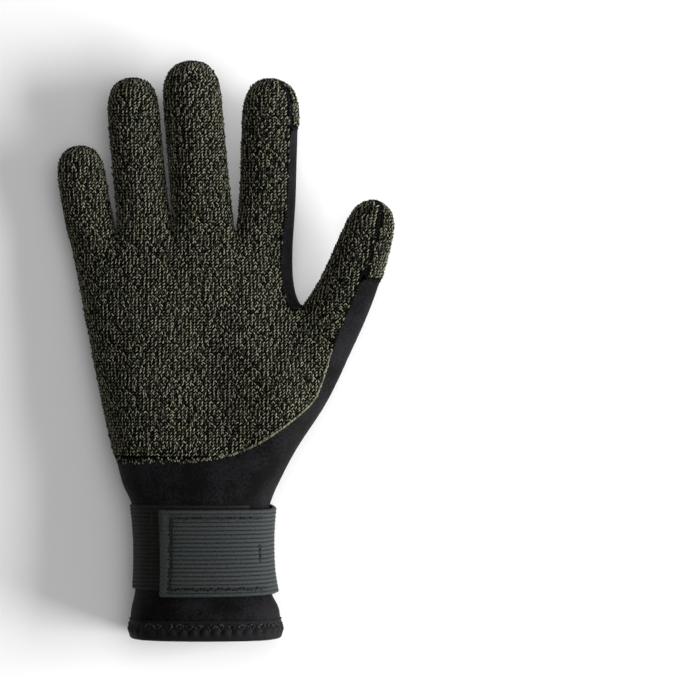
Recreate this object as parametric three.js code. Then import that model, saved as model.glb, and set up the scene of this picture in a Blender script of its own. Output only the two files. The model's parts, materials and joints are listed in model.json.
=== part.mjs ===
// Right-hand diving glove in 3 mm neoprene with a knitted cut-resistant palm, lying on its back
// with the palm up. Millimetres, +Z up, fingertips towards +Y, thumb towards +X. The origin is
// the middle of the glove's bounding box, on the surface that the back of the hand lies on.
//
// The glove is cut and sewn from flat panels, so the model is too: one control cage of the whole
// hand is smoothed, and each panel is the part of that skin between its seams, with a real wall.
import * as THREE from "three";

// Neoprene and seams
const WALL = 3; // neoprene with its lining
const KNIT_PROUD = 0.35; // how far the knitted face stands above the neoprene beside it
const SEAM_GAP = 0.3; // between two panels that are sewn edge to edge
const REST_GAP = 0.35; // between a piece and what it is sewn on or laid against

// Cuff, measured along the arm from the hem
const HEM_WIDTH = 70.6;
const HEM_DEPTH = 46;
const BINDING_WIDTH = 9.8;
const BINDING_THICK = 0.9;
const STRAP_RISE = 21.5; // from the hem to the strap's lower edge
const STRAP_WIDTH = 40;
const STRAP_THICK = 1.4;
const TAB_LENGTH = 58.6; // from the thumb side of the wrist to the tab's end, round the front
const STRAP_OVERLAP = 39.6; // how far the tab lies over the strap's sewn start
const HOOK_THICK = 1.1;
const HOOK_LENGTH = 36.5;
const HOOK_INSET = 1.2; // of the hook tape inside the tab's edges
const WRIST_WIDTH = 62.4;
const WRIST_DEPTH = 40;
const GUSSET_WIDTH = 40; // at the hem, on the back of the cuff
const GUSSET_TOP = 5.5; // where it ends, under the strap
const GUSSET_SHIFT = 7.5; // from the middle of the cuff towards the thumb
const TAB_DROP = 2.3; // the tab lies a little askew, its end towards the hem
const TAB_RAMP_BEFORE = 0.3; // where the strap leaves the cuff, in tab lengths off the thumb side
const TAB_RAMP_AFTER = 0.22; // and where it lies flat on its start
const STRAP_STEPS = 4;
const LABEL_WIDTH = 21;
const LABEL_LENGTH = 30;
const LABEL_THICK = 0.5;

// Hand
const HAND_LENGTH = 125.5; // from the strap to the crotch of the middle and ring fingers
const PALM_WIDTH = 102;
const PALM_DEPTH = 36;
const FINGER_LENGTH = 86.4; // of the middle finger
const THUMB_LENGTH = 80.5; // from its root inside the hand
const CAP_LENGTH = 23; // of the knitted cap on the back of a fingertip
const THUMB_CAP_LENGTH = 36;
const FINGER_LIFT = 2.2; // of the fingers' roots over the surface
const CROTCH_DROP = 4.5; // control points of the webs lie below the finished web

const strapTop = STRAP_RISE + STRAP_WIDTH;
const strapMiddle = STRAP_RISE + STRAP_WIDTH / 2;
const onHand = (share) => strapTop + share * HAND_LENGTH;
const underBinding = REST_GAP + BINDING_THICK;
const underStrap = REST_GAP + STRAP_THICK;

// Rows of named columns. The numbers in the tables are shares of the named sizes, and degrees.
function table(columns, rows) {
  return rows.map((row) => Object.fromEntries(columns.map((column, i) => [column, row[i]])));
}

// Digits. width: share of the palm's width; length, cap: shares of the finger's or thumb's named
// lengths; lean, turn: direction in the palm's plane at the root and its change to the tip; pitch,
// curl: the same towards the palm side; roll: about its own axis; taper: narrowing along its
// length; slant: of its first section, as a share of its width; seams: ring places of its seams.
const DIGIT_TABLE = [
  "name", "width", "length", "cap", "lean", "turn", "pitch", "curl", "roll", "taper", "slant", "seams",
];
const sized = (digit, length, cap) => ({
  ...digit,
  width: digit.width * PALM_WIDTH,
  length: digit.length * length,
  cap: digit.cap * cap,
});
const DIGITS = table(DIGIT_TABLE, [
  ["little", 0.213, 0.549, 0.92, -12.4, 7, 5, 9, -4, 0, 0, [0, 4]],
  ["ring", 0.232, 0.914, 1, -7.5, 5, 4, 9, 0, 0, 0, [0, 4]],
  ["middle", 0.263, 1, 1, -5.2, 1, 3, 10, 4, 0, 0, [0, 4]],
  ["index", 0.256, 0.88, 0.96, 1.8, 0, 3, 9, 0, 0, 0, [0, 3]],
]).map((digit) => sized(digit, FINGER_LENGTH, CAP_LENGTH));
const [THUMB] = table(DIGIT_TABLE, [
  ["thumb", 0.259, 1, 1, 32, -19, 6, 8, 72, 0.36, 0.34, [1, 4]],
]).map((digit) => sized(digit, THUMB_LENGTH, THUMB_CAP_LENGTH));

// Sections of cuff and hand from the hem to the finger roots. up: height over the hem; wide, deep:
// the sizes that the shares are of; left, right: the outline's distance from the arm's axis; top:
// the height of the palm side; rise: how far the thumb end of the section sweeps up, and sag: how
// far the middle of the back hangs down in the arc of the knuckle seam, both shares of the palm's
// width; lift: what keeps the section's back off the surface.
const SECTIONS = table(["name", "up", "wide", "left", "right", "deep", "top", "rise", "sag", "lift"], [
  ["hem", underBinding, HEM_WIDTH, 0.487, 0.524, HEM_DEPTH, 1, 0, 0, underBinding],
  ["binding", BINDING_WIDTH, HEM_WIDTH, 0.498, 0.53, HEM_DEPTH, 0.99, 0, 0, underBinding],
  ["cuff", (BINDING_WIDTH + STRAP_RISE) / 2, HEM_WIDTH, 0.488, 0.518, HEM_DEPTH, 0.95, 0, 0, underStrap],
  ["strap_foot", STRAP_RISE, WRIST_WIDTH, 0.517, 0.505, WRIST_DEPTH, 1.03, 0, 0, underStrap],
  ["strap_middle", strapMiddle, WRIST_WIDTH, 0.508, 0.487, WRIST_DEPTH, 1, 0, 0, underStrap],
  ["strap_head", strapTop, WRIST_WIDTH, 0.525, 0.496, WRIST_DEPTH, 1, 0, 0, underStrap],
  ["wrist", onHand(0.075), PALM_WIDTH, 0.38, 0.362, PALM_DEPTH, 1.12, 0.02, 0, underStrap],
  ["heel_low", onHand(0.115), PALM_WIDTH, 0.392, 0.445, PALM_DEPTH, 1.13, 0.14, 0, underStrap / 2],
  ["heel", onHand(0.15), PALM_WIDTH, 0.409, 0.6, PALM_DEPTH, 1.13, 0.3, 0, 0],
  ["thenar", onHand(0.4), PALM_WIDTH, 0.478, 0.588, PALM_DEPTH, 1.08, 0.165, 0.01, 0],
  ["crotch", onHand(0.64), PALM_WIDTH, 0.534, 0.466, PALM_DEPTH, 1, 0.105, 0.14, 0],
  ["knuckle", onHand(0.815), PALM_WIDTH, 0.574, 0.422, PALM_DEPTH, 0.94, 0.015, 0.02, 0],
  ["finger_roots", onHand(0.975), PALM_WIDTH, 0.613, 0.428, PALM_DEPTH, 0.84, 0.03, 0, FINGER_LIFT],
]);
const levelOf = (name) => SECTIONS.findIndex((section) => section.name === name);
const HEEL = levelOf("heel");
const CROTCH = levelOf("crotch");
const STRAP_ROW = 2 * levelOf("strap_middle"); // of the smoothed cuff, which has two rows a section
const HOOK_LEVEL = underStrap + REST_GAP; // over the cuff, on the strap's start

// Swells and hollows of the palm side. across, up: their middle, from the arm's axis as a share of
// the palm's width and from the strap as a share of the hand's length; wide, long: their reach, in
// the same shares; height: share of the palm's depth.
const MOUNDS = table(["name", "across", "up", "wide", "long", "height"], [
  ["ball_of_thumb", 0.36, 0.34, 0.22, 0.22, 0.153],
  ["heel_of_hand", -0.3, 0.3, 0.2, 0.24, 0.07],
  ["hollow", 0.04, 0.56, 0.22, 0.22, -0.139],
  ["thumb_crease", 0.33, 0.63, 0.1, 0.1, -0.139],
  ["index_pad", 0.27, 0.84, 0.12, 0.08, 0.044],
  ["middle_pad", 0.01, 0.86, 0.12, 0.08, 0.044],
  ["ring_pad", -0.24, 0.83, 0.11, 0.08, 0.039],
  ["little_pad", -0.46, 0.77, 0.1, 0.08, 0.033],
]);

// The cage
const FINGER_DEPTH_SHARE = 0.88; // of a digit's width
const FIRST_STATION = 0.2; // of a digit's length
const FIRST_SIZE = 1.01;
const BETWEEN_SLANT = 0.35; // of a digit's slant, half way to the cap's seam
const POLE_REACH = 0.05; // of a digit's width, past its tip
const SIDE_REACH = 0.86; // how far out the outermost column of either face lies
const PALM_SQUARE = 2.3; // exponent of the palm side's arch
const BACK_SQUARE = 3.6;
const PRESSED = 1.2; // how far the back is flattened where it lies
const DRAW_IN_POWER = 3; // power at which the columns draw in towards the sides
const RISE_CURVE = 1.6;
const RING_SHRINK = 0.925; // what one smoothing leaves of a ring of eight points
const BODY_SHRINK = 0.985;
const RING_ANGLES = [180, 135, 90, 45, 0, -45, -90, -135]; // palm side first, little-finger side left
const DIGIT_COLUMNS = 2; // cage columns across each finger's root, on either face
const FACE_COLUMNS = DIGITS.length * DIGIT_COLUMNS + 1;
const RING = 2 * FACE_COLUMNS + 2;
const PALM_SIDE_RIGHT = FACE_COLUMNS; // ring place of the outermost palm column at the thumb
const THUMB_SIDE = PALM_SIDE_RIGHT + 1;

const radians = THREE.MathUtils.degToRad;
const lerp = THREE.MathUtils.lerp;

const cage = { points: [], faces: [] };

function addPoint(x, y, z) {
  return cage.points.push(new THREE.Vector3(x, y, z)) - 1;
}

function addFace(corners, panel) {
  cage.faces.push({ corners, panel });
}

// Where each column stands across a face, from -1 at the little finger to 1 at the thumb. The
// columns follow the fingers' own widths, so each finger grows out of the columns below it.
function columnPlaces() {
  const total = DIGITS.reduce((sum, digit) => sum + digit.width, 0);
  const places = [-1];
  for (const digit of DIGITS) {
    const step = (2 * digit.width) / total / DIGIT_COLUMNS;
    for (let i = 0; i < DIGIT_COLUMNS; i++) places.push(places.at(-1) + step);
  }
  return places;
}
const COLUMNS = columnPlaces();
const drawnIn = (place) => place * (1 - (1 - SIDE_REACH) * Math.abs(place) ** DRAW_IN_POWER);
const GUSSET_COLUMNS = [4, 5, 6]; // left seam, middle and right seam of the cuff's gusset
const SEAM_LITTLE = 2;
const SEAM_CENTRE = 4;
const SEAM_INDEX = 6;
const ARC = [1, 0.72, -0.5, -0.2, 0]; // shape of the knuckle seam, from its middle outwards

const arch = (place, square) => (1 - Math.abs(place) ** square) ** (1 / square);

// Half of the gusset's width at a height over the hem, or null above its end.
function gussetHalf(up) {
  if (up > strapTop) return null;
  return lerp(GUSSET_WIDTH, GUSSET_TOP, up / strapTop) / 2;
}

// Columns of the back of the cuff, drawn aside to the gusset's two seams.
function backPlaces(section, middle, half) {
  const gusset = gussetHalf(section.up);
  const places = COLUMNS.map(drawnIn);
  if (gusset === null) return places;
  const [left, centre, right] = GUSSET_COLUMNS;
  const seamLeft = (GUSSET_SHIFT - gusset - middle) / half;
  const seamRight = (GUSSET_SHIFT + gusset - middle) / half;
  return places.map((place, i) => {
    if (i === centre) return (seamLeft + seamRight) / 2;
    if (i <= left) return lerp(-SIDE_REACH, seamLeft, (COLUMNS[i] + 1) / (COLUMNS[left] + 1));
    return lerp(seamRight, SIDE_REACH, (COLUMNS[i] - COLUMNS[right]) / (1 - COLUMNS[right]));
  });
}

// Height of the glove's back over the surface, at a place along the arm.
function liftAt(up) {
  const above = SECTIONS.findIndex((section) => section.up >= up);
  if (above === 0) return SECTIONS[0].lift;
  if (above < 0) return 0;
  const [a, b] = [SECTIONS[above - 1], SECTIONS[above]];
  return lerp(a.lift, b.lift, (up - a.up) / (b.up - a.up));
}

// One ring of the cage round cuff or hand: little-finger side, palm columns, thumb side, back
// columns from the thumb back to the little finger.
function addSection(section) {
  const left = (-section.left * section.wide) / BODY_SHRINK;
  const right = (section.right * section.wide) / BODY_SHRINK;
  const middle = (left + right) / 2;
  const half = (right - left) / 2;
  const top = section.top * section.deep;
  const bottom = section.lift - PRESSED;
  const waist = (top + bottom) / 2;
  const rise = (place) => {
    const share = Math.min(Math.max(place, 0) / SIDE_REACH, 1);
    return section.rise * PALM_WIDTH * share ** RISE_CURVE;
  };
  const ring = [addPoint(left, section.up, waist)];
  for (const column of COLUMNS) {
    const place = drawnIn(column);
    const z = waist + (top - waist) * arch(place, PALM_SQUARE);
    ring.push(addPoint(middle + half * place, section.up + rise(place), z));
  }
  ring.push(addPoint(right, section.up + rise(1), waist));
  const places = backPlaces(section, middle, half);
  for (let i = FACE_COLUMNS - 1; i >= 0; i--) {
    const place = places[i];
    const z = waist - (waist - bottom) * arch(place, BACK_SQUARE);
    const fall = section.sag * ARC[Math.abs(i - SEAM_CENTRE)];
    ring.push(addPoint(middle + half * place, section.up + rise(place) - fall * PALM_WIDTH, z));
  }
  return ring;
}

// Ring places of a column on the palm side and on the back.
const palmAt = (column) => 1 + column;
const backAt = (column) => RING - 1 - column;

// Which panel a face of cuff or hand belongs to. level: the section at its lower edge.
function bodyPanel(level, place) {
  // Above the thumb the back comes round to the palm side, as it does along the index finger.
  const onPalm = place < (level >= CROTCH ? PALM_SIDE_RIGHT : THUMB_SIDE);
  if (onPalm) return level >= HEEL ? "palm_panel" : "back_shell";
  const column = RING - 1 - place - 1; // the lower of the face's two columns
  if (column < 0 || column > FACE_COLUMNS - 2) return "back_shell";
  const name = SECTIONS[level].name;
  const inGusset = column >= GUSSET_COLUMNS[0] && column < GUSSET_COLUMNS[2];
  if (inGusset && SECTIONS[level].up < strapTop) return "cuff_gusset";
  if (name !== "crotch" && name !== "knuckle") return "back_shell";
  if (column >= SEAM_LITTLE && column < SEAM_CENTRE) return "back_ring_panel";
  if (column >= SEAM_CENTRE && column < SEAM_INDEX) return "back_middle_panel";
  return "back_shell";
}

// The middle line of a digit is an arc: lean and turn lie in the palm's plane, pitch and curl
// lift it towards the palm side.
function onMiddleLine(digit, root, share) {
  const along = digit.length * share;
  const pitch = radians(digit.pitch + (digit.curl * share) / 2);
  const lean = radians(digit.lean + (digit.turn * share) / 2);
  return new THREE.Vector3(
    root.x + along * Math.cos(pitch) * Math.sin(lean),
    root.y + along * Math.cos(pitch) * Math.cos(lean),
    root.z + along * Math.sin(pitch),
  );
}

// The three directions of a digit's section.
function sectionAxes(digit, share) {
  const pitch = radians(digit.pitch + digit.curl * share);
  const lean = radians(digit.lean + digit.turn * share);
  const along = new THREE.Vector3(
    Math.cos(pitch) * Math.sin(lean),
    Math.cos(pitch) * Math.cos(lean),
    Math.sin(pitch),
  );
  const across = new THREE.Vector3(Math.cos(lean), -Math.sin(lean), 0);
  return { along, across, upward: new THREE.Vector3().crossVectors(across, along) };
}

// Sections of a digit, as shares of its length, from its root over the cap's seam to its tip.
function digitStations(digit) {
  const seam = 1 - digit.cap / digit.length;
  const fromTip = (halves) => 1 - (halves * digit.width) / 2 / digit.length;
  return table(["share", "size", "slanted", "seam"], [
    [FIRST_STATION, FIRST_SIZE, 1, false],
    [(FIRST_STATION + seam) / 2, 1, BETWEEN_SLANT, false],
    [seam, 1, 0, true],
    [fromTip(0.9), 0.985, 0, false],
    [fromTip(0.24), 0.72, 0, false],
  ]);
}

// Grows a digit out of a ring of eight cage points. The palm side is sewn to the back along the
// ring places of the digit's seams, and the back has a knitted cap past the cap seam.
function addDigit(digit, rootRing, root, backPanel) {
  let last = rootRing;
  let capped = false;
  const panelAt = (place) => {
    const onPalm = place >= digit.seams[0] && place < digit.seams[1];
    if (onPalm) return "palm_panel";
    return capped ? `tip_cap_${digit.name}` : backPanel;
  };
  for (const station of digitStations(digit)) {
    const narrowing = 1 - digit.taper * (station.share - 0.5);
    const size = (station.size * narrowing * digit.width) / 2 / RING_SHRINK;
    const middle = onMiddleLine(digit, root, station.share);
    const { along, across, upward } = sectionAxes(digit, station.share);
    const ring = RING_ANGLES.map((angle) => {
      const turned = radians(angle + digit.roll);
      const point = middle.clone();
      const slant = digit.slant * digit.width * station.slanted;
      point.addScaledVector(along, -slant * Math.cos(turned));
      point.addScaledVector(across, size * Math.cos(turned));
      point.addScaledVector(upward, size * FINGER_DEPTH_SHARE * Math.sin(turned));
      return addPoint(point.x, point.y, point.z);
    });
    for (let i = 0; i < ring.length; i++) {
      const next = (i + 1) % ring.length;
      addFace([last[i], last[next], ring[next], ring[i]], panelAt(i));
    }
    if (station.seam) capped = true;
    last = ring;
  }
  const end = onMiddleLine(digit, root, 1 + (POLE_REACH * digit.width) / digit.length);
  const pole = addPoint(end.x, end.y, end.z);
  const [first, second] = digit.seams;
  for (const [from, to] of [[first, second], [second, first + last.length]]) {
    for (let i = from; i < to; i += 2) {
      const places = [i, i + 1, i + 2].filter((place) => place <= to);
      addFace([...places.map((place) => last[place % last.length]), pole], panelAt(i));
    }
  }
}

function buildCage() {
  const rings = SECTIONS.map(addSection);
  for (let level = 0; level + 1 < rings.length; level++) {
    for (let place = 0; place < RING; place++) {
      const next = (place + 1) % RING;
      const inThumb = level >= HEEL && level < CROTCH;
      if (inThumb && (place === PALM_SIDE_RIGHT || place === THUMB_SIDE)) continue;
      const [low, high] = [rings[level], rings[level + 1]];
      addFace([low[place], low[next], high[next], high[place]], bodyPanel(level, place));
    }
  }
  addFingers(rings.at(-1));
  addThumb(rings);
  return rings;
}

// The web between two fingers is one line of three points: palm side, middle and back.
function addFingers(rootRing) {
  const at = (ringPlace) => cage.points[rootRing[ringPlace]];
  const webs = [rootRing[0]];
  for (let i = 1; i < DIGITS.length; i++) {
    const column = i * DIGIT_COLUMNS;
    const web = at(palmAt(column)).clone().lerp(at(backAt(column)), 0.5);
    webs.push(addPoint(web.x, web.y - CROTCH_DROP, web.z));
  }
  webs.push(rootRing[THUMB_SIDE]);
  DIGITS.forEach((digit, i) => {
    const column = i * DIGIT_COLUMNS;
    const ring = [
      webs[i], rootRing[palmAt(column)], rootRing[palmAt(column + 1)], rootRing[palmAt(column + 2)],
      webs[i + 1], rootRing[backAt(column + 2)], rootRing[backAt(column + 1)], rootRing[backAt(column)],
    ];
    const root = new THREE.Vector3();
    for (const place of [1, 2, 3, 5, 6, 7]) root.addScaledVector(cage.points[ring[place]], 1 / 6);
    root.x = (cage.points[webs[i]].x + cage.points[webs[i + 1]].x) / 2;
    const back = { ring: "back_ring_panel", middle: "back_middle_panel" }[digit.name] ?? "back_shell";
    addDigit(digit, ring, root, back);
  });
}

// The thumb grows out of the side of the hand, between the heel and the crotch sections.
function addThumb(rings) {
  const [low, mid, high] = [rings[HEEL], rings[HEEL + 1], rings[HEEL + 2]];
  const palm = palmAt(FACE_COLUMNS - 1);
  const back = backAt(FACE_COLUMNS - 1);
  const ring = [
    high[back], high[THUMB_SIDE], high[palm], mid[palm],
    low[palm], low[THUMB_SIDE], low[back], mid[back],
  ];
  const root = new THREE.Vector3();
  for (const id of ring) root.addScaledVector(cage.points[id], 1 / ring.length);
  addDigit(THUMB, ring, root, "back_shell");
}

const edgeKey = (a, b) => (a < b ? `${a},${b}` : `${b},${a}`);

// One Catmull-Clark smoothing of a cage of faces. Each face hands its panel to the quads it is
// cut into.
function smooth({ points, faces }) {
  const edges = new Map();
  const touching = points.map(() => ({ faces: [], edges: [] }));
  const middles = faces.map(({ corners }) => {
    const middle = new THREE.Vector3();
    for (const corner of corners) middle.addScaledVector(points[corner], 1 / corners.length);
    return middle;
  });
  faces.forEach(({ corners }, f) => {
    corners.forEach((a, i) => {
      const b = corners[(i + 1) % corners.length];
      const key = edgeKey(a, b);
      if (!edges.has(key)) {
        edges.set(key, { a, b, faces: [] });
        touching[a].edges.push(key);
        touching[b].edges.push(key);
      }
      edges.get(key).faces.push(f);
      touching[a].faces.push(f);
    });
  });
  const made = points.map((point, p) => {
    const { faces: around, edges: spokes } = touching[p];
    if (!around.length) return point.clone(); // the thumb's opening leaves one point unused
    const rim = spokes.map((key) => edges.get(key)).filter((edge) => edge.faces.length === 1);
    const moved = new THREE.Vector3();
    if (rim.length) {
      moved.addScaledVector(point, 0.75);
      for (const edge of rim) moved.addScaledVector(points[edge.a === p ? edge.b : edge.a], 0.125);
      return moved;
    }
    const n = around.length;
    for (const f of around) moved.addScaledVector(middles[f], 1 / (n * n));
    for (const key of spokes) {
      const edge = edges.get(key);
      moved.addScaledVector(points[edge.a], 1 / (n * n)).addScaledVector(points[edge.b], 1 / (n * n));
    }
    return moved.addScaledVector(point, (n - 3) / n);
  });
  for (const edge of edges.values()) {
    edge.id = made.length;
    const ends = new THREE.Vector3().addVectors(points[edge.a], points[edge.b]);
    if (edge.faces.length === 1) made.push(ends.multiplyScalar(0.5));
    else made.push(ends.add(middles[edge.faces[0]]).add(middles[edge.faces[1]]).multiplyScalar(0.25));
  }
  const firstMiddle = made.length;
  made.push(...middles);
  const quads = [];
  faces.forEach(({ corners, panel }, f) => {
    corners.forEach((corner, i) => {
      const next = corners[(i + 1) % corners.length];
      const before = corners[(i + corners.length - 1) % corners.length];
      const ahead = edges.get(edgeKey(corner, next)).id;
      const behind = edges.get(edgeKey(before, corner)).id;
      quads.push({ corners: [corner, ahead, firstMiddle + f, behind], panel });
    });
  });
  const between = (a, b) => edges.get(edgeKey(a, b)).id;
  return { points: made, faces: quads, between };
}

// The same surface with the swells of the palm side, flattened where the back lies, and with a
// normal at each point.
function shapeSkin(skin) {
  const normals = pointNormals(skin);
  skin.points.forEach((point, i) => {
    const facing = Math.max(normals[i].z, 0);
    for (const mound of MOUNDS) {
      const across = (point.x - mound.across * PALM_WIDTH) / (mound.wide * PALM_WIDTH);
      const along = (point.y - onHand(mound.up)) / (mound.long * HAND_LENGTH);
      const height = mound.height * PALM_DEPTH;
      point.z += height * facing * Math.exp(-2 * (across ** 2 + along ** 2));
    }
  });
  for (const point of skin.points) point.z = Math.max(point.z, liftAt(point.y));
  skin.normals = pointNormals(skin);
  return skin;
}

function pointNormals({ points, faces }) {
  const normals = points.map(() => new THREE.Vector3());
  for (const { corners } of faces) {
    const first = new THREE.Vector3().subVectors(points[corners[2]], points[corners[0]]);
    const second = new THREE.Vector3().subVectors(points[corners[3]], points[corners[1]]);
    const facing = first.cross(second);
    for (const corner of corners) normals[corner].add(facing);
  }
  return normals.map((normal) => normal.normalize());
}

// A closed solid from points and quads or triangles.
function solidGeometry(points, faces) {
  const index = [];
  for (const face of faces) {
    if (face.length === 3) {
      index.push(...face);
      continue;
    }
    const [a, b, c, d] = face;
    const short = points[a].distanceTo(points[c]) <= points[b].distanceTo(points[d]);
    index.push(...(short ? [a, b, c, a, c, d] : [a, b, d, b, c, d]));
  }
  const geometry = new THREE.BufferGeometry();
  const places = points.flatMap((point) => point.toArray());
  geometry.setAttribute("position", new THREE.Float32BufferAttribute(places, 3));
  geometry.setIndex(index);
  geometry.computeVertexNormals();
  return geometry;
}

// A sewn panel: its share of the skin with a wall under it, drawn back by half a seam gap all
// round its edge.
function panelGeometry(skin, panel, wall, proud) {
  const own = skin.faces.filter((face) => face.panel === panel).map((face) => face.corners);
  const uses = new Map();
  const inward = new Map();
  for (const corners of own) {
    const middle = new THREE.Vector3();
    for (const corner of corners) middle.addScaledVector(skin.points[corner], 1 / corners.length);
    corners.forEach((a, i) => {
      const b = corners[(i + 1) % corners.length];
      const key = edgeKey(a, b);
      uses.set(key, uses.has(key) ? null : [a, b]);
      if (!inward.has(a)) inward.set(a, new THREE.Vector3());
      inward.get(a).add(middle.clone().sub(skin.points[a]));
    });
  }
  const rim = [...uses.values()].filter((edge) => edge !== null);
  const onRim = new Set(rim.flat());
  const ids = new Map();
  const points = [];
  for (const [id, way] of inward) {
    const normal = skin.normals[id];
    const place = skin.points[id].clone();
    if (onRim.has(id)) {
      way.addScaledVector(normal, -way.dot(normal)).normalize();
      place.addScaledVector(way, SEAM_GAP / 2);
    }
    ids.set(id, points.length);
    points.push(place.clone().addScaledVector(normal, proud), place.addScaledVector(normal, -wall));
  }
  const faces = [];
  for (const corners of own) {
    faces.push(corners.map((id) => ids.get(id)));
    faces.push(corners.map((id) => ids.get(id) + 1).reverse());
  }
  const under = (id) => skin.points[id].clone().addScaledVector(skin.normals[id], -wall);
  for (const [a, b] of rim) {
    // Both panels at a seam split its twisted edge faces the same way, so neither crosses it.
    const [outA, outB] = [ids.get(a), ids.get(b)];
    if (skin.points[a].distanceTo(under(b)) < skin.points[b].distanceTo(under(a))) {
      faces.push([outB, outA, outB + 1], [outA, outA + 1, outB + 1]);
    } else {
      faces.push([outB, outA, outA + 1], [outB, outA + 1, outB + 1]);
    }
  }
  return solidGeometry(points, faces);
}

// The smoothed skin of the cuff as a grid, up the arm and round it, to lay strap and binding on.
function cuffGrid(skin, rings) {
  const levels = levelOf("strap_head");
  const row = (ring) => ring.flatMap((id, i) => [id, skin.between(id, ring[(i + 1) % RING])]);
  const grid = [];
  for (let level = 0; level <= levels; level++) {
    grid.push(row(rings[level]));
    if (level === levels) break;
    const between = [];
    for (let i = 0; i < RING; i++) {
      const a = rings[level][i];
      const b = rings[level + 1][i];
      const next = rings[level][(i + 1) % RING];
      const face = cage.faces.findIndex(({ corners }) => [a, b, next].every((id) => corners.includes(id)));
      between.push(skin.between(a, b), skin.points.length - cage.faces.length + face);
    }
    grid.push(between);
  }
  return grid.map((ids) => ids.map((id) => ({ point: skin.points[id], normal: skin.normals[id] })));
}

// A place on the cuff: row and column may lie between the grid's own. lift is along the normal.
function onCuff(grid, row, column, lift) {
  const size = grid[0].length;
  const r0 = Math.min(Math.floor(row), grid.length - 2);
  const c0 = Math.floor(column);
  const mix = (key) => {
    const at = (r, c) => grid[r][((c % size) + size) % size][key];
    const low = at(r0, c0).clone().lerp(at(r0, c0 + 1), column - c0);
    const high = at(r0 + 1, c0).clone().lerp(at(r0 + 1, c0 + 1), column - c0);
    return low.lerp(high, row - r0);
  };
  return mix("point").addScaledVector(mix("normal").normalize(), lift);
}

// Columns of the cuff by their distance round it, measured at one row from the thumb side over
// the palm side.
function cuffMeasure(grid, row) {
  const size = grid[0].length;
  const start = size / 2;
  const lengths = [0];
  for (let i = 0; i < size; i++) {
    const here = onCuff(grid, row, start - i, 0);
    lengths.push(lengths.at(-1) + here.distanceTo(onCuff(grid, row, start - i - 1, 0)));
  }
  const round = lengths.at(-1);
  const columnAt = (distance) => {
    const turns = Math.floor(distance / round);
    const rest = distance - turns * round;
    const i = Math.min(lengths.findLastIndex((length) => length <= rest), size - 1);
    return start - turns * size - i - (rest - lengths[i]) / (lengths[i + 1] - lengths[i]);
  };
  return { round, columnAt };
}

// Row of the cuff's grid at a height over the hem.
function rowAt(up) {
  const above = Math.max(SECTIONS.findIndex((section) => section.up >= up), 1);
  const [a, b] = [SECTIONS[above - 1], SECTIONS[above]];
  return 2 * (above - 1 + (up - a.up) / (b.up - a.up));
}

// A strip laid on the cuff between two columns. ups: heights of its rows over the hem; levels
// gives the heights of its lower and upper face over the skin at a column, slope how far it
// is moved along the arm there.
function stripGeometry(grid, ups, from, to, levels, slope = () => 0) {
  const columns = [from];
  for (let c = Math.ceil(from + 0.15); c < to - 0.15; c++) columns.push(c);
  columns.push(to);
  const points = [];
  for (const column of columns) {
    const rows = ups.map((up) => rowAt(up + slope(column)));
    const [low, high] = levels(column);
    for (const row of rows) points.push(onCuff(grid, row, column, low));
    for (const row of rows) points.push(onCuff(grid, row, column, high));
  }
  const n = ups.length;
  const id = (c, layer, r) => c * 2 * n + layer * n + r;
  const faces = [];
  for (let c = 0; c + 1 < columns.length; c++) {
    for (let r = 0; r + 1 < n; r++) {
      faces.push([id(c, 1, r), id(c + 1, 1, r), id(c + 1, 1, r + 1), id(c, 1, r + 1)]);
      faces.push([id(c, 0, r), id(c, 0, r + 1), id(c + 1, 0, r + 1), id(c + 1, 0, r)]);
    }
    faces.push([id(c, 0, 0), id(c + 1, 0, 0), id(c + 1, 1, 0), id(c, 1, 0)]);
    faces.push([id(c, 1, n - 1), id(c + 1, 1, n - 1), id(c + 1, 0, n - 1), id(c, 0, n - 1)]);
  }
  const last = columns.length - 1;
  for (let r = 0; r + 1 < n; r++) {
    faces.push([id(0, 0, r), id(0, 1, r), id(0, 1, r + 1), id(0, 0, r + 1)]);
    faces.push([id(last, 1, r), id(last, 0, r), id(last, 0, r + 1), id(last, 1, r + 1)]);
  }
  return facingOut(solidGeometry(points, faces));
}

// Turns every face round if the geometry's volume comes out negative.
function facingOut(geometry) {
  const at = geometry.getAttribute("position");
  const index = geometry.getIndex();
  const corner = (i) => new THREE.Vector3().fromBufferAttribute(at, index.getX(i));
  let volume = 0;
  for (let i = 0; i < index.count; i += 3) volume += corner(i).dot(corner(i + 1).cross(corner(i + 2)));
  if (volume < 0) {
    for (let i = 0; i < index.count; i += 3) {
      const second = index.getX(i + 1);
      index.setX(i + 1, index.getX(i + 2));
      index.setX(i + 2, second);
    }
    geometry.computeVertexNormals();
  }
  return geometry;
}

const evenly = (from, to, steps) => {
  return Array.from({ length: steps + 1 }, (_, i) => lerp(from, to, i / steps));
};

// How far the strap has come, from lying on the cuff to lying on its own start as a tab.
function tabShare(measure, column) {
  const from = -measure.columnAt(-TAB_RAMP_BEFORE * TAB_LENGTH);
  const to = -measure.columnAt(TAB_RAMP_AFTER * TAB_LENGTH);
  return THREE.MathUtils.smoothstep(-column, from, to);
}

const tabSlope = (measure) => (column) => -TAB_DROP * tabShare(measure, column);

// Webbing that starts under the tab, runs round the back and lies over its own start.
function strapGeometry(grid) {
  const measure = cuffMeasure(grid, STRAP_ROW);
  const tabEnd = measure.columnAt(TAB_LENGTH);
  const start = measure.columnAt(TAB_LENGTH - STRAP_OVERLAP - measure.round);
  const levels = (column) => {
    const low = lerp(REST_GAP, HOOK_LEVEL + HOOK_THICK + REST_GAP, tabShare(measure, column));
    return [low, low + STRAP_THICK];
  };
  const ups = evenly(STRAP_RISE, strapTop, STRAP_STEPS);
  return stripGeometry(grid, ups, tabEnd, start, levels, tabSlope(measure));
}

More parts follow.
